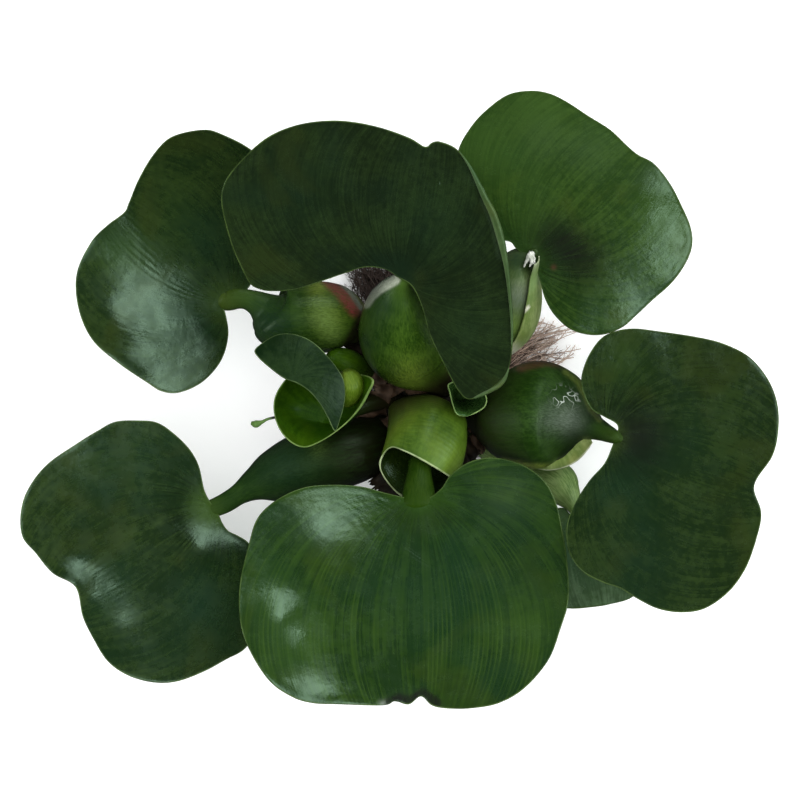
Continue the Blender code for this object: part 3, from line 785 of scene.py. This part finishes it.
def add_float(name, made, sides=84, into=(6, 13), sink=(0.6, 1.3), **shape):
    """A petiole in full detail. Its neck flattens out and runs on into the blade."""
    side, stations = FLOATS[name]
    if side:
        last_u, last_v, _, last_radius = stations[-1]
        axis = blade_axis(BLADES[side])
        for step, radius, below in zip(into, (last_radius * 0.75, 0.5), sink):
            u, v = last_u + axis[0] * step, last_v + axis[1] * step
            stations = (*stations, (u, v, blade_height(BLADES[side], u, v) - below, radius))
    slot = name.split("_")[0]
    bump = lengthwise(len(name))
    add_tube(f"{name}_skin", slot, made, stations, 11, sides, bump, replaces=(name,), **shape)


def oval(loop, turns):
    """Points of a drawn oval at these angles."""
    u, v, height, half_width, half_height, lean = loop
    north = np.sin(turns)
    return vectors(u + half_width * np.cos(turns), v - half_height * north, height + lean * north)


def add_cup(name, slot, loops, rim, thickness, materials, rows, steps=9, ribs=0, paint=None, **sheet):
    """A thin wall from a foot through a belly to a rim, with `ribs` fine ribs round it."""
    rim = np.asarray(rim, float)
    middle = rim.mean(axis=0)
    turns = np.arctan2(middle[1] - rim[:, 1], rim[:, 0] - middle[0])
    rounds = [*[oval(loop, turns) for loop in loops], rim]
    foot, belly, top = [smooth_run(points, steps, closed=True) for points in rounds]
    share = np.linspace(0, 1, rows)[:, None]
    way = share[..., None]
    places = foot * (2 * way - 1) * (way - 1) + belly * 4 * way * (1 - way) + top * way * (2 * way - 1)
    grid = place(places)
    if ribs:
        grid = grid + grid_normals(grid, True) * (SHEATH_RIB_HEIGHT * MM * np.cos(2 * np.pi * ribs * way))
    around = 2 * np.pi * np.arange(len(top))[None] / len(top)
    wall = np.linalg.norm(np.diff(grid, axis=0), axis=-1).sum(axis=0).mean() / MM
    fields = {
        "grain": vectors(np.cos(around) * 9, np.sin(around) * 9, share * wall * 0.12),
        "edge": (1 - share) * wall, "along": share, "vein": share * 2 * np.pi * (ribs or wall / 0.85),
        **painted(places[..., :2], paint),
    }
    add_sheet(name, slot, grid, thickness, materials, fields, **sheet)


# Roots and crown


def root_reach(angle):
    """How far the roots reach from the crown's axis at these compass angles."""
    reach = ROOT_RADIUS * (1 + 0.03 * np.cos(np.radians(5 * angle)))
    for middle, extra, width in ROOT_BUNCHES:
        turned = (angle - middle + 180) % 360 - 180
        reach = reach + extra * np.exp(-((turned / width) ** 2))
    return reach


def crown_reach(angle):
    """The crown's own radius at these compass angles."""
    return CROWN_RADIUS * (1 + 0.05 * np.cos(np.radians(3 * angle)))


def add_roots(name, made, seed, angles, lengths, hairs, hair_length, thick=0.42, hair=0.075):
    """Feathery roots: thin strands that run out from the crown down to the floor, with fine side hairs."""
    chance = np.random.default_rng(seed)
    strands = len(angles)
    stops = 15
    sides = 4

    def each(low, high):
        return chance.uniform(low, high, strands)[:, None]

    share = np.linspace(0, 1, stops)[None]
    angle = np.radians(angles)[:, None]
    start = each(0.002, 0.008)
    out = start + (root_reach(np.degrees(angle)) * lengths[:, None] - start) * share
    wander = chance.normal(0, 0.22, strands)[:, None] * share * (1 - share) * 2
    wander = wander + chance.normal(0, 0.05, strands)[:, None] * np.sin(7 * share + each(0, 6))
    top = each(0.0115, 0.0165)
    floor = each(0.0007, 0.006)
    height = floor + (top - floor) * (1 - share) ** each(0.7, 2.2)
    height = height + 0.0012 * np.sin(9 * share + each(0, 6)) * share * (1 - share) * 3
    path = vectors(out * np.cos(angle + wander), out * np.sin(angle + wander), np.maximum(height, 0.0006))
    ahead = unit(np.gradient(path, axis=1))
    beside = unit(np.cross(ahead, [0.0, 0.0, 1.0]))
    above = np.cross(beside, ahead)
    radius = thick * MM * (1 - 0.75 * share) * each(0.7, 1.25)
    turn = 2 * np.pi * np.arange(sides)[:, None] / sides
    ring = beside[:, :, None] * np.cos(turn) + above[:, :, None] * np.sin(turn)
    points = path[:, :, None] + ring * radius[..., None, None]
    base = strands * stops * sides
    faces = grid_faces(stops, sides)[None] + np.arange(0, base, stops * sides)[:, None, None]

    total = strands * hairs
    owner = np.repeat(np.arange(strands), hairs)
    where = chance.uniform(0.12, 0.99, total) ** 0.9
    index = where * (stops - 1)
    low = np.minimum(index.astype(int), stops - 2)
    part = (index - low)[:, None]
    foot = path[owner, low] * (1 - part) + path[owner, low + 1] * part
    way = ahead[owner, low]
    round_turn = chance.uniform(0, 2 * np.pi, total)[:, None]
    outward = beside[owner, low] * np.cos(round_turn) + above[owner, low] * np.sin(round_turn) * 0.45
    size = hair_length * MM * chance.uniform(0.5, 1.2, total)[:, None] * (1.15 - 0.5 * where[:, None])
    lean = chance.uniform(0.5, 1.2, total)[:, None]
    knee = foot + (outward + way * lean * 0.6) * size * 0.5
    tip = foot + (outward * 0.8 + way * lean * 1.3) * size
    knee[:, 2] = np.maximum(knee[:, 2], 0.0003)
    tip[:, 2] = np.maximum(tip[:, 2] - 0.0006, 0.0002)
    long = way * hair * MM
    across = unit(np.cross(outward, way)) * hair * MM
    corners = np.stack([
        foot + long, foot - long * 0.6 + across, foot - long * 0.6 - across,
        knee + long * 0.7, knee - long * 0.4 + across * 0.7, knee - long * 0.4 - across * 0.7, tip,
    ], axis=1)
    pattern = np.array([
        (0, 1, 4), (0, 4, 3), (1, 2, 5), (1, 5, 4), (2, 0, 3), (2, 3, 5), (3, 4, 6), (4, 5, 6), (5, 3, 6)])
    hair_faces = pattern[None] + (base + np.arange(total) * 7)[:, None, None]
    along = np.append(np.broadcast_to(share[..., None], (strands, stops, sides)), np.repeat(where, 7))
    points = np.vstack([points.reshape(-1, 3), corners.reshape(-1, 3)])
    faces = faces.reshape(-1, 4).tolist() + hair_faces.reshape(-1, 3).tolist()
    add_piece(name, points, faces, [made], {"along": along[:, None]}, replaces=("roots",))


def add_lump(name, slot, made, radius_at, profile, base, top, columns=120, rough=0.06):
    """A rough lump turned about the crown's axis."""
    levels = smooth_run(profile, 8)
    share, level = levels[:, :1], levels[:, 1:]
    angle = 360 * np.arange(columns)[None] / columns
    turn = np.radians(angle)
    rise = base + (top - base) * level
    bumps = np.sin(9 * turn + 3) * np.cos(30 * level + 4 * turn) + 0.7 * np.sin(23 * turn + 50 * level)
    radius = radius_at(angle) * share * (1 + rough * bumps)
    grid = vectors(radius * np.cos(turn), radius * np.sin(turn), rise)
    add_rings(name, made, grid, [(0, 0, base), (0, 0, top)], {"along": 0 * level}, (slot,))


def add_scrap(name, made, u, v, height, long, wide, compass, rise, seed):
    """A ragged sheet that curls round a petiole's foot: an old papery scrap of sheath in the pale finish,
    and a sheet of painted shade that fills a gap in the crown in the dark finish.
    """
    chance = np.random.default_rng(seed)
    along = np.linspace(0, 1, 26)[:, None]
    across = np.linspace(-1, 1, 17)[None]
    reach = along * long * (1 - 0.3 * chance.random(17)[None] * along)
    side = across * wide * (1 - 0.5 * along**2) * (1 + 0.15 * np.sin(9 * along + seed))
    bend = 0.5 * across**2 * wide + 0.4 * np.sin(6 * along + 3 * across + seed)
    angle = math.radians(compass)
    slope = math.radians(rise)
    out = reach * math.cos(slope)
    east = out * math.cos(angle) - side * math.sin(angle)
    north = out * math.sin(angle) + side * math.cos(angle)
    grid = place((u, v, height)) + vectors(east, north, reach * math.sin(slope) - bend) * MM
    add_strip(name, "crown", made, grid, SCRAP_THICKNESS, {"along": along})


# The plant

# Marks painted into a leaf's colour. The light green marks and the bluish grey ones are painted sheens, the
# dark one is painted shade (dark brown dead tissue along the south blade's notched tip), and the dark
# bluish green one is a darker tone that also lays painted shade over sheens that are too bright. The pale
# and the red marks are the leaf's own flecks.
LEAF_MARKS = (("painted_green_sheen", (0.03, 0.066, 0.012)), ("pale", (0.4, 0.45, 0.38)), ("red", (0.09, 0.035, 0.02)),
              ("shade", (0.006, 0.006, 0.005)), ("cool_tone_and_shade", (0.005, 0.019, 0.009)),
              ("painted_grey_sheen", (0.05, 0.085, 0.046)))
DUSKY = dict(dark=(0.005, 0.013, 0.0027), light=(0.0138, 0.0272, 0.0052), streaks=0.2, veins=0.12,
             mottle=0.28, rays=0.8)
LEAF_LOOKS = {
    "north_west": dict(**DUSKY, fan_strength=0.35, fan_reach=14, roughness=0.25),
    "north": dict(dark=(0.005, 0.01, 0.003), light=(0.011, 0.0215, 0.0055), streaks=0.2, veins=0.15),
    "north_east": dict(dark=(0.01, 0.028, 0.004), light=(0.026, 0.056, 0.0085), streaks=0.34, mottle=0.3,
                       rays=0.7, fan_strength=0.2, fan_reach=10),
    "east": dict(**DUSKY, fan_strength=0.5, fan_reach=9),
    "south": dict(dark=(0.0055, 0.018, 0.003), light=(0.013, 0.034, 0.0035), fan=(0.013, 0.036, 0.0015),
                  fan_strength=0.85, fan_reach=20, streaks=0.4, veins=0.4,
                  vein_colour=(0.028, 0.058, 0.006)),
    "west": dict(**DUSKY, fan=(0.024, 0.05, 0.006), fan_strength=1.0, fan_reach=13, roughness=0.24),
    "south_east": dict(dark=(0.026, 0.05, 0.02), light=(0.06, 0.1, 0.05), fan_strength=0.5),
}
LEAF_SHAPES = {
    "north_west": dict(
        relief=((106, 309, 42, 3.65), (196, 262, 26, -0.8), (150, 350, 16, -0.5)),
        bends=((124, 335, 205, 8, 90, -12),),
        paint=dict(cool_tone_and_shade=[(205, 235, 30, 0.5), (170, 320, 40, 0.4)],
                   painted_green_sheen=[(120, 250, 26, 0.35), (175, 215, 40, 0.15)])),
    "north": dict(paint=dict(
        cool_tone_and_shade=[(300, 200, 40, 0.2), (430, 220, 45, 0.25), (470, 330, 30, 0.2)],
        painted_grey_sheen=[(((484, 200), (494, 225), (500, 255)), 4, 0.16)])),
    "north_east": dict(bends=((648, 200, 12, 10, 50, 8),), paint=dict(
        shade=[(556, 240, 26, 0.7), (586, 262, 28, 0.65)], red=[(554, 267, 2.6, 0.8)],
        cool_tone_and_shade=[(600, 310, 20, 0.35)],
        painted_grey_sheen=[(590, 150, 26, 0.15), (545, 140, 22, 0.12), (634, 318, 12, 0.25), (655, 175, 16, 0.3)],
        painted_green_sheen=[(536, 108, 35, 0.8), (600, 140, 40, 0.5), (478, 148, 38, 0.9), (530, 180, 30, 0.4),
              (670, 210, 35, 0.9), (530, 220, 22, 0.5)])),
    "east": dict(paint=dict(
        cool_tone_and_shade=[(690, 450, 60, 0.15), (640, 560, 40, 0.4), (612, 490, 26, 0.5)], shade=[(640, 436, 28, 0.8)],
        painted_green_sheen=[(625, 365, 26, 0.2)])),
    "south": dict(
        relief=((316, 548, 42, 3.55), (276, 624, 30, 4.0), (306, 716, 34, 3.3)),
        pleats=((222, 26, 6.5, 24, 14, 0.05), (205, 14, 5, 38, 14, 0.04)),
        paint=dict(
            cool_tone_and_shade=[(470, 560, 60, 0.3), (400, 590, 40, 0.25), (530, 520, 30, 0.2)],
            # The dark line along the notched tip is dark brown dead tissue; the one below the joint is
            # painted shade.
            shade=[(((388, 704), (399, 699), (411, 701), (423, 694), (436, 703)), 6, 0.9),
                   (((398, 516), (420, 526), (442, 516)), 12, 0.25)],
            painted_grey_sheen=[(318, 522, 26, 0.22), (505, 496, 26, 0.16)], pale=[(384, 704, 3, 0.7)],
            painted_green_sheen=[(530, 620, 40, 0.25), (272, 600, 26, 0.35), (290, 645, 34, 0.35)])),
    "west": dict(
        relief=((70, 580, 20, 1.9), (92, 604, 24, 2.35), (118, 634, 22, 1.9), (197, 552, 24, 2.5)),
        bends=((180, 610, -65, 14, 120, -10),),
        paint=dict(
            cool_tone_and_shade=[(200, 600, 36, 0.6), (110, 600, 30, 0.4), (120, 462, 34, 0.5), (112, 570, 24, 0.3)])),
    "south_east": dict(steps=6),
}
UNDER = leaf_finish("leaf underside", (0.05, 0.1, 0.035), (0.09, 0.16, 0.06), fan=(0.13, 0.2, 0.05),
                    fan_strength=0.8, rim=(0.25, 0.3, 0.14), roughness=0.45)
for side, look in LEAF_LOOKS.items():
    top = leaf_finish("leaf " + side.replace("_", " "), marks=LEAF_MARKS, **look)
    add_blade(side, BLADES[side], top, UNDER, **LEAF_SHAPES[side])

TURNED = leaf_finish("turned margin", (0.026, 0.052, 0.015), (0.05, 0.084, 0.03), rim=(0.06, 0.09, 0.04),
                     rim_width=0.3, roughness=0.4, gloss=0.3)
add_turned_margin(
    "margin_north_east_side", TURNED, BLADES["north"],
    ((459, 151), (471, 167), (487, 196), (496, 213), (503.5, 236), (508, 263), (510.5, 290), (512.5, 322),
     (512, 345)),
    ((458.5, 151), (469, 168), (482, 199), (489.5, 216), (497, 240), (503.5, 265), (507.5, 291),
     (510.5, 322), (511, 345)), 1.2)
add_turned_margin(
    "margin_north_low_end", TURNED, BLADES["north"],
    ((474, 398.5), (482, 396), (492, 391.5), (500, 387), (506, 379.5), (509, 368)),
    ((473.5, 397.3), (481, 393.2), (490.3, 388.7), (497.8, 384.3), (503.8, 377.3), (508.4, 368)), 0.8)

# Marks painted into a float's colour. The light green marks and the bluish grey ones are painted sheens and
# highlights, the darker bluish one is a painted reflection of the sky, and the dark brown one is painted
# shade. The pale, yellow and red marks are the float's own colours, except the east float's yellow right
# shoulder, which is painted rim light. The thin pale lines are squiggly lines.
FLOAT_MARKS = (("pale", (0.42, 0.45, 0.36)), ("yellow", (0.13, 0.18, 0.02)),
               ("painted_sky_reflection", (0.009, 0.024, 0.012)), ("painted_green_sheen", (0.09, 0.15, 0.03)), ("red", (0.13, 0.028, 0.024)),
               ("shade", (0.012, 0.008, 0.005)), ("painted_grey_sheen", (0.08, 0.105, 0.078)),
               ("pale_squiggle", (0.45, 0.5, 0.45)))
FLOAT_GREEN = dict(dark=(0.01, 0.03, 0.002), light=(0.032, 0.07, 0.006))
FLOAT_LOOKS = {
    "float_north_west": dict(**FLOAT_GREEN, neck=(0.03, 0.05, 0.006)),
    "float_north": FLOAT_GREEN,
    "float_north_east": dict(dark=(0.03, 0.06, 0.012), light=(0.075, 0.11, 0.035),
                             neck=(0.014, 0.028, 0.006)),
    "float_east": dict(dark=(0.005, 0.018, 0.001), light=(0.014, 0.039, 0.003), root_share=0.5,
                       root=(0.008, 0.01, 0.003), neck=(0.017, 0.036, 0.004), roughness=0.44),
    "petiole_south": dict(dark=(0.006, 0.02, 0.001), light=(0.017, 0.038, 0.003), root_share=0.7,
                          root=(0.006, 0.012, 0.002), neck=(0.013, 0.034, 0.002), gloss=0.1),
    "float_west": dict(dark=(0.005, 0.017, 0.003), light=(0.014, 0.036, 0.005), root_share=0.72,
                       root=(0.003, 0.004, 0.001), neck=(0.022, 0.044, 0.006), roughness=0.34, gloss=0.18),
    "float_south_east": dict(dark=(0.075, 0.14, 0.032), light=(0.185, 0.265, 0.09), streaks=0.5),
    "petiole_young": dict(dark=(0.006, 0.013, 0.002), light=(0.013, 0.024, 0.004),
                          root=(0.006, 0.005, 0.002), root_share=0.95, marks=()),
    "bud_round": dict(dark=(0.014, 0.042, 0.001), light=(0.038, 0.09, 0.003), root=(0.005, 0.006, 0.002),
                      root_share=0.95, neck=None, marks=()),
}
FLOAT_SHAPES = {
    "float_north_west": dict(into=(7, 14), sink=(1.6, 3.0), wide=1.5, paint=dict(
        yellow=[(318, 286, 10, 0.9), (328, 316, 15, 0.45)], painted_sky_reflection=[(268, 325, 36, 0.9)],
        painted_green_sheen=[(318, 304, 11, 0.45), (326, 318, 13, 0.8), (332, 334, 11, 0.6)],
        red=[(((329, 279), (341, 290), (356, 310)), 8, 1.0)],
        painted_grey_sheen=[(((338, 280), (350, 292), (361, 308)), 2.5, 1.0)],
        shade=[(((368, 316), (360, 332), (352, 348)), 10, 1.3)])),
    "float_north": dict(into=(4,), sink=(5,), paint=dict(
        pale=[(((366, 303), (371, 296), (379, 289), (388, 284), (395, 280)), 4.8, 1.5)],
        painted_sky_reflection=[(382, 306, 20, 0.7), (366, 345, 18, 0.4)], yellow=[(412, 378, 20, 0.45)],
        shade=[(436, 388, 16, 0.5)])),
    "float_north_east": dict(paint=dict(
        painted_grey_sheen=[(518, 300, 14, 0.6)], painted_green_sheen=[(513, 328, 17, 1.0)], pale=[(520, 292, 11, 0.22)],
        painted_sky_reflection=[(508, 300, 9, 0.4), (516, 260, 13, 0.9)])),
    "float_east": dict(paint=dict(
        # The yellow line down the right shoulder is painted rim light; the light green line at the lip is a
        # painted highlight.
        yellow=[(((505, 463), (530, 468), (560, 468), (580, 460), (592, 447)), 4.5, 1.0),
                (((566, 371), (577, 380), (585, 394), (591, 409), (600, 419)), 3.5, 0.6)],
        pale=[(((558, 464), (572, 456), (582, 446)), 4, 0.45)],
        red=[(((520, 368), (545, 362), (575, 366)), 4, 0.4)],
        pale_squiggle=[(562, 397, 7, 1.5), (573, 399, 6, 1.0)], painted_grey_sheen=[(570, 419, 16, 1.0), (548, 420, 12, 0.35)],
        painted_green_sheen=[(((556, 466), (572, 458), (586, 443)), 6, 0.9)])),
    "petiole_south": dict(wide=2.2, into=(7, 14), sink=(2.4, 4.0)),
    "float_west": dict(into=(10, 22), sink=(1.9, 3.4), wide=2.2,
                       paint=dict(painted_sky_reflection=[(285, 462, 30, 0.7)], painted_green_sheen=[(318, 448, 9, 0.2)])),
    "float_south_east": dict(paint=dict(shade=[(555, 486, 5, 0.3), (565, 500, 8, 0.4)])),
    "petiole_young": dict(sides=40),
    "bud_round": dict(sides=40),
}
for name, look in FLOAT_LOOKS.items():
    made = float_finish(name.replace("_", " "), **{"marks": FLOAT_MARKS, **look})
    add_float(name, made, **FLOAT_SHAPES[name])

BRIGHT = float_finish("bud bright", (0.034, 0.068, 0.003), (0.095, 0.145, 0.014), root=None, neck=None)
add_tube("bud_bright_skin", "bud", BRIGHT, BUD_BRIGHT, 10, 48, replaces=("bud_bright",))
SPROUT = float_finish("sprout", (0.06, 0.13, 0.03), (0.14, 0.24, 0.07), root=(0.02, 0.015, 0.02))
add_tube("sprout_skin", "bud", SPROUT, SPROUT_STALK, 10, 20, replaces=("sprout",))

# The young leaf's inside is a brighter green than its outside: painted light that shines through the thin
# leaf.
YOUNG_INNER = leaf_finish("young leaf", (0.012, 0.04, 0.001), (0.029, 0.077, 0.002), rim=(0.12, 0.18, 0.05),
                          roughness=0.4, gloss=0.25)
YOUNG_OUTER = leaf_finish("young leaf outside", (0.006, 0.018, 0.001), (0.012, 0.03, 0.003),
                          rim=(0.1, 0.15, 0.04), gloss=0.3)
YOUNG_DARK = leaf_finish("young lobe", (0.0025, 0.009, 0.002), (0.009, 0.021, 0.0055),
                         rim=(0.09, 0.14, 0.05), gloss=0.12, roughness=0.3, bump=0.2)
# The cup's wall is thicker at its east end.
cup_thickness = 0.4 + 0.55 * marked(smooth_run(YOUNG_CUP_RIM, 9, closed=True), [(367, 396, 26, 1.0)])
add_cup("young_cup", "young_leaf", YOUNG_CUP, YOUNG_CUP_RIM, cup_thickness, [YOUNG_INNER, YOUNG_OUTER], 44,
        replaces=("young_leaf",))
add_young_lobe(YOUNG_DARK, YOUNG_OUTER)

SHEATH_OUT = leaf_finish(
    "sheath", (0.023, 0.052, 0.003), (0.055, 0.104, 0.008), rim=(0.35, 0.42, 0.22), rim_width=0.18,
    roughness=0.38, marks=(("shade", (0.032, 0.036, 0.009)), ("painted_green_sheen", (0.1, 0.165, 0.014))), streaks=0.08,
    lines=0.06, veins=0.22, vein_colour=(0.075, 0.12, 0.012), bump=0.04, gloss=0.35)
# Its inside is nearly black: painted shade in the hollow of the sheath.
SHEATH_IN = leaf_finish("sheath inside", (0.004, 0.01, 0.001), (0.01, 0.02, 0.002), rim=(0.3, 0.36, 0.2),
                        rim_width=0.3)
# The sheath gets painted shade over its top, where the north float shades it, and a painted highlight on
# its lower right.
add_cup("sheath_skin", "sheath", SHEATH, SHEATH_RIM, SHEATH_THICKNESS, [SHEATH_OUT, SHEATH_IN], 92,
        steps=10, ribs=26, capped=False, flip=True, replaces=("sheath_south",), paint=dict(
            shade=[(402, 398, 20, 0.9), (436, 394, 14, 0.7), (385, 420, 12, 0.5)],
            painted_green_sheen=[(450, 462, 20, 0.6)]))
FURLED_LOOK = leaf_finish("furled leaf", (0.012, 0.035, 0.006), (0.03, 0.075, 0.015), rim=(0.2, 0.3, 0.1))
add_cup("furled_skin", "young_leaf", FURLED, FURLED_RIM, YOUNG_THICKNESS, [FURLED_LOOK, FURLED_LOOK], 40,
        replaces=("furled_leaf",))
PAPERY = leaf_finish("membrane", (0.09, 0.135, 0.025), (0.19, 0.24, 0.08), rim=(0.55, 0.55, 0.42),
                     rim_width=0.5, roughness=0.5, marks=(("pale", (0.62, 0.6, 0.5)),))


def add_membrane():
    """The thin wall round the east side of the north-east float."""
    middles, radii = station_run([station[:4] for station in MEMBRANE], 12)
    widths = smooth_run([station[4:] for station in MEMBRANE], 12)
    down, beside = tube_frames(middles)
    share = np.linspace(-1, 1, 31)[None]
    angle = np.radians(MEMBRANE_SIDE + 180 + widths * share)
    spread = down * np.cos(angle)[..., None] + beside * np.sin(angle)[..., None]
    grid = middles[:, None] + spread * radii[..., None]
    fields = {
        "grain": vectors(np.cos(angle) * 8, np.sin(angle) * 8, middles[:, 2:] * 60),
        "edge": (1 - share) * 4, "pale": marked(drawn(grid), MEMBRANE_PALE),
    }
    add_strip("membrane_skin", "sheath", PAPERY, grid, MEMBRANE_THICKNESS, fields, ("membrane_north_east",))


def add_lip():
    """The pale edge of membrane low on the east float."""
    outer, inner = [smooth_run(run, 8)[:, None] for run in (LIP_OUTER, LIP_INNER)]
    share = np.linspace(0, 1, 13)[None]
    lip = inner + (outer - inner) * share[..., None]
    grid = place(lip, lip[..., 2] + 0.8 * np.sin(np.pi * share))
    fields = {"grain": vectors(np.arange(len(lip))[:, None] * 0.4, 0.0, 0.0), "edge": (1 - share) * 5}
    add_strip("membrane_east_skin", "sheath", PAPERY, grid, MEMBRANE_THICKNESS, fields)


add_membrane()
add_lip()
TORN = fibre_finish("torn tip", (0.4, 0.42, 0.36), (0.8, 0.8, 0.75), roughness=0.6)
for number, stations in enumerate((
    ((531.5, 252, 66.5, 0.7), (529.5, 256, 66, 0.95), (526.5, 261, 65, 0.55), (524, 267, 63.5, 0.25)),
    ((531.5, 252, 66.5, 0.8), (533.5, 258, 65.4, 0.65), (534.5, 264, 64, 0.3), (535.5, 272, 61, 0.3),
     (537.5, 280, 57.5, 0.15)),
    ((530, 256, 66.2, 0.8), (531.5, 262, 65, 0.6), (529.5, 267, 64, 0.2)),
)):
    add_tube(f"torn_tip_{number}", "sheath", TORN, stations, 6, 10,
             bump=lambda along, around: 0.3 * np.sin(40 * along + 3 * around))

# The crown and the roots

CROWN_LOOK = fibre_finish("crown", (0.006, 0.005, 0.003), (0.03, 0.019, 0.01))
add_lump("crown_skin", "crown", CROWN_LOOK, crown_reach, CROWN_PROFILE, CROWN_BASE, CROWN_TOP)
SCRAP = fibre_finish("scrap", (0.012, 0.007, 0.004), (0.045, 0.027, 0.016), (0.07, 0.046, 0.03),
                     roughness=0.6)
# Near-black sheets of painted shade that fill the gaps in the crown where only shade is seen.
SHADE_SHEET = fibre_finish("dark scrap", (0.004, 0.003, 0.002), (0.016, 0.011, 0.006), roughness=0.7)
# Each scrap: u, v, height, length and half width in mm, the compass angle it points in, and its slope.
SCRAPS = (
    (392, 396, 36, 9, 4.5, 160, 10), (384, 386, 35, 8, 4, 140, 18), (402, 392, 37, 8, 4, 120, 5),
    (386, 404, 34, 11, 4.5, 185, 5), (372, 398, 36, 8, 3.5, 170, 15), (418, 394, 39, 7, 4.5, 95, -5),
    (478, 402, 36, 8, 4, -20, 12), (476, 420, 33, 10, 4.5, -40, 4), (470, 436, 31, 9, 4.5, -60, 0),
    (482, 410, 35, 7, 3, 20, 20), (394, 424, 33, 9, 4.5, 215, 0), (372, 412, 32, 9, 4, 200, 8),
    (400, 476, 34, 10, 5, 228, -8), (402, 490, 33, 10, 4.5, 180, -8), (462, 448, 33, 8, 4.5, -25, -5),
    (376, 367, 35, 13, 6.5, 130, 2), (397, 462, 33, 10, 5, 200, -6), (394, 474, 33, 11, 5, 212, -8),
    (456, 450, 33, 9, 5, -52, -6), (364, 354, 36, 10, 5.5, 158, 6),
)
# The first scraps are old papery sheath; the rest are sheets of painted shade.
PALE_SCRAPS = 12
for number, scrap in enumerate(SCRAPS):
    add_scrap(f"scrap_{number}", SCRAP if number < PALE_SCRAPS else SHADE_SHEET, *scrap, number)

CORE = fibre_finish("root core", (0.006, 0.004, 0.002), (0.02, 0.012, 0.008))
add_lump("root_core", "roots", CORE, lambda angle: root_reach(angle) * 0.6, ROOT_PROFILE, 0.0,
         ROOT_HEIGHT * 0.8, columns=160, rough=0.12)
ROOTS = fibre_finish("roots", (0.02, 0.013, 0.01), (0.075, 0.048, 0.038), (0.11, 0.075, 0.06))
EAST_ROOTS = fibre_finish("roots north east", (0.05, 0.026, 0.018), (0.36, 0.23, 0.17), (0.6, 0.46, 0.38))
NORTH_ROOTS = fibre_finish("roots north", (0.008, 0.005, 0.0045), (0.033, 0.022, 0.019),
                           (0.055, 0.038, 0.031))
chance = np.random.default_rng(5)
add_roots("roots_all", ROOTS, 11, chance.uniform(0, 360, 170), chance.uniform(0.75, 1.0, 170), 44, 4.5)
add_roots("roots_north_east", EAST_ROOTS, 12, chance.normal(31, 14, 210), chance.uniform(0.62, 1.02, 210),
          42, 3.4, thick=0.62, hair=0.11)
north = np.append(chance.normal(116, 7, 120), chance.uniform(128, 162, 34))
add_roots("roots_north", NORTH_ROOTS, 13, north, chance.uniform(0.97, 1.13, 154), 88, 5.0, thick=0.6,
          hair=0.12)

# Floor, backdrop, light and camera


def add_stage(name, points, faces, made):
    """A piece of the room, with its finish."""
    mesh = bpy.data.meshes.new(name)
    mesh.from_pydata(points, [], faces)
    mesh.materials.append(made.material)
    piece = add_object(name, mesh)
    return piece


def add_floor():
    made = Finish("floor", Roughness=0.9, Specular_IOR_Level=0.1, Emission_Color=(1.0, 1.0, 1.0),
                  Emission_Strength=0.25)
    made.colour = made.mix(made.noise(made.position(), 3, 2), (0.83, 0.83, 0.83), (0.85, 0.85, 0.85))
    made.done()
    floor = add_stage("floor", [(-40, -40, 0), (40, -40, 0), (40, 40, 0), (-40, 40, 0)], [(0, 1, 2, 3)],
                      made)
    floor.visible_glossy = False


def add_backdrop():
    """A pale wall in a ring far round the plant. Only the camera sees it, so it lights nothing."""
    turn = 2 * np.pi * np.arange(96) / 96
    profile = smooth_run(((2.3, 0.002), (2.7, 0.02), (3.0, 0.12), (3.2, 0.4), (3.25, 1.5), (3.25, 3.0)), 6)
    away, height = profile[:, :1], profile[:, 1:]
    grid = vectors(away * np.cos(turn), away * np.sin(turn), height)
    made = Finish("backdrop", Roughness=1.0, Specular_IOR_Level=0.0, Emission_Color=(1.0, 1.0, 1.0),
                  Emission_Strength=0.9)
    wall = add_stage("backdrop", grid.reshape(-1, 3).tolist(), grid_faces(*grid.shape[:2]).tolist(), made)
    wall.visible_diffuse = wall.visible_glossy = wall.visible_transmission = wall.visible_shadow = False


def add_light(name, compass, elevation, away, size, radiance, colour=(0.95, 0.99, 1.0), glossy=True):
    """A soft square light, aimed at the plant. Its power follows from how bright its face is."""
    data = bpy.data.lights.new(name, "AREA")
    data.shape = "SQUARE"
    data.size = size
    data.energy = math.pi * size**2 * radiance
    data.color = colour
    lamp = add_object(name, data)
    angle = math.radians(compass)
    rise = math.radians(elevation)
    way = Vector((math.cos(angle) * math.cos(rise), math.sin(angle) * math.cos(rise), math.sin(rise)))
    lamp.location = way * away
    lamp.rotation_euler = way.to_track_quat("Z", "Y").to_euler()
    lamp.visible_glossy = glossy


add_floor()
add_backdrop()
add_light("sky east", -10, 30, 2.4, 1.3, 6.0)
add_light("sky north east", 60, 40, 2.4, 1.0, 6.0)
add_light("sky west", 193, 30, 2.4, 0.8, 5.5)
add_light("fill", 90, 86, 3.2, 4.6, 3.4, colour=(1, 1, 1), glossy=False)

world = bpy.data.worlds.new("plain")
world.use_nodes = True
background = world.node_tree.nodes["Background"]
background.inputs["Color"].default_value = (0.9, 0.95, 1.0, 1.0)
background.inputs["Strength"].default_value = 0.06
scene = bpy.context.scene
scene.world = world
scene.view_settings.view_transform = "Standard"
scene.view_settings.look = "None"

view = bpy.data.cameras.new("view")
view.lens = 72.495
view.sensor_width = 36.0
view.clip_start = 0.01
scene.camera = add_object("view", view)
scene.camera.location = (EYE_X, 0.0, EYE_HEIGHT)

bpy.context.view_layer.update()
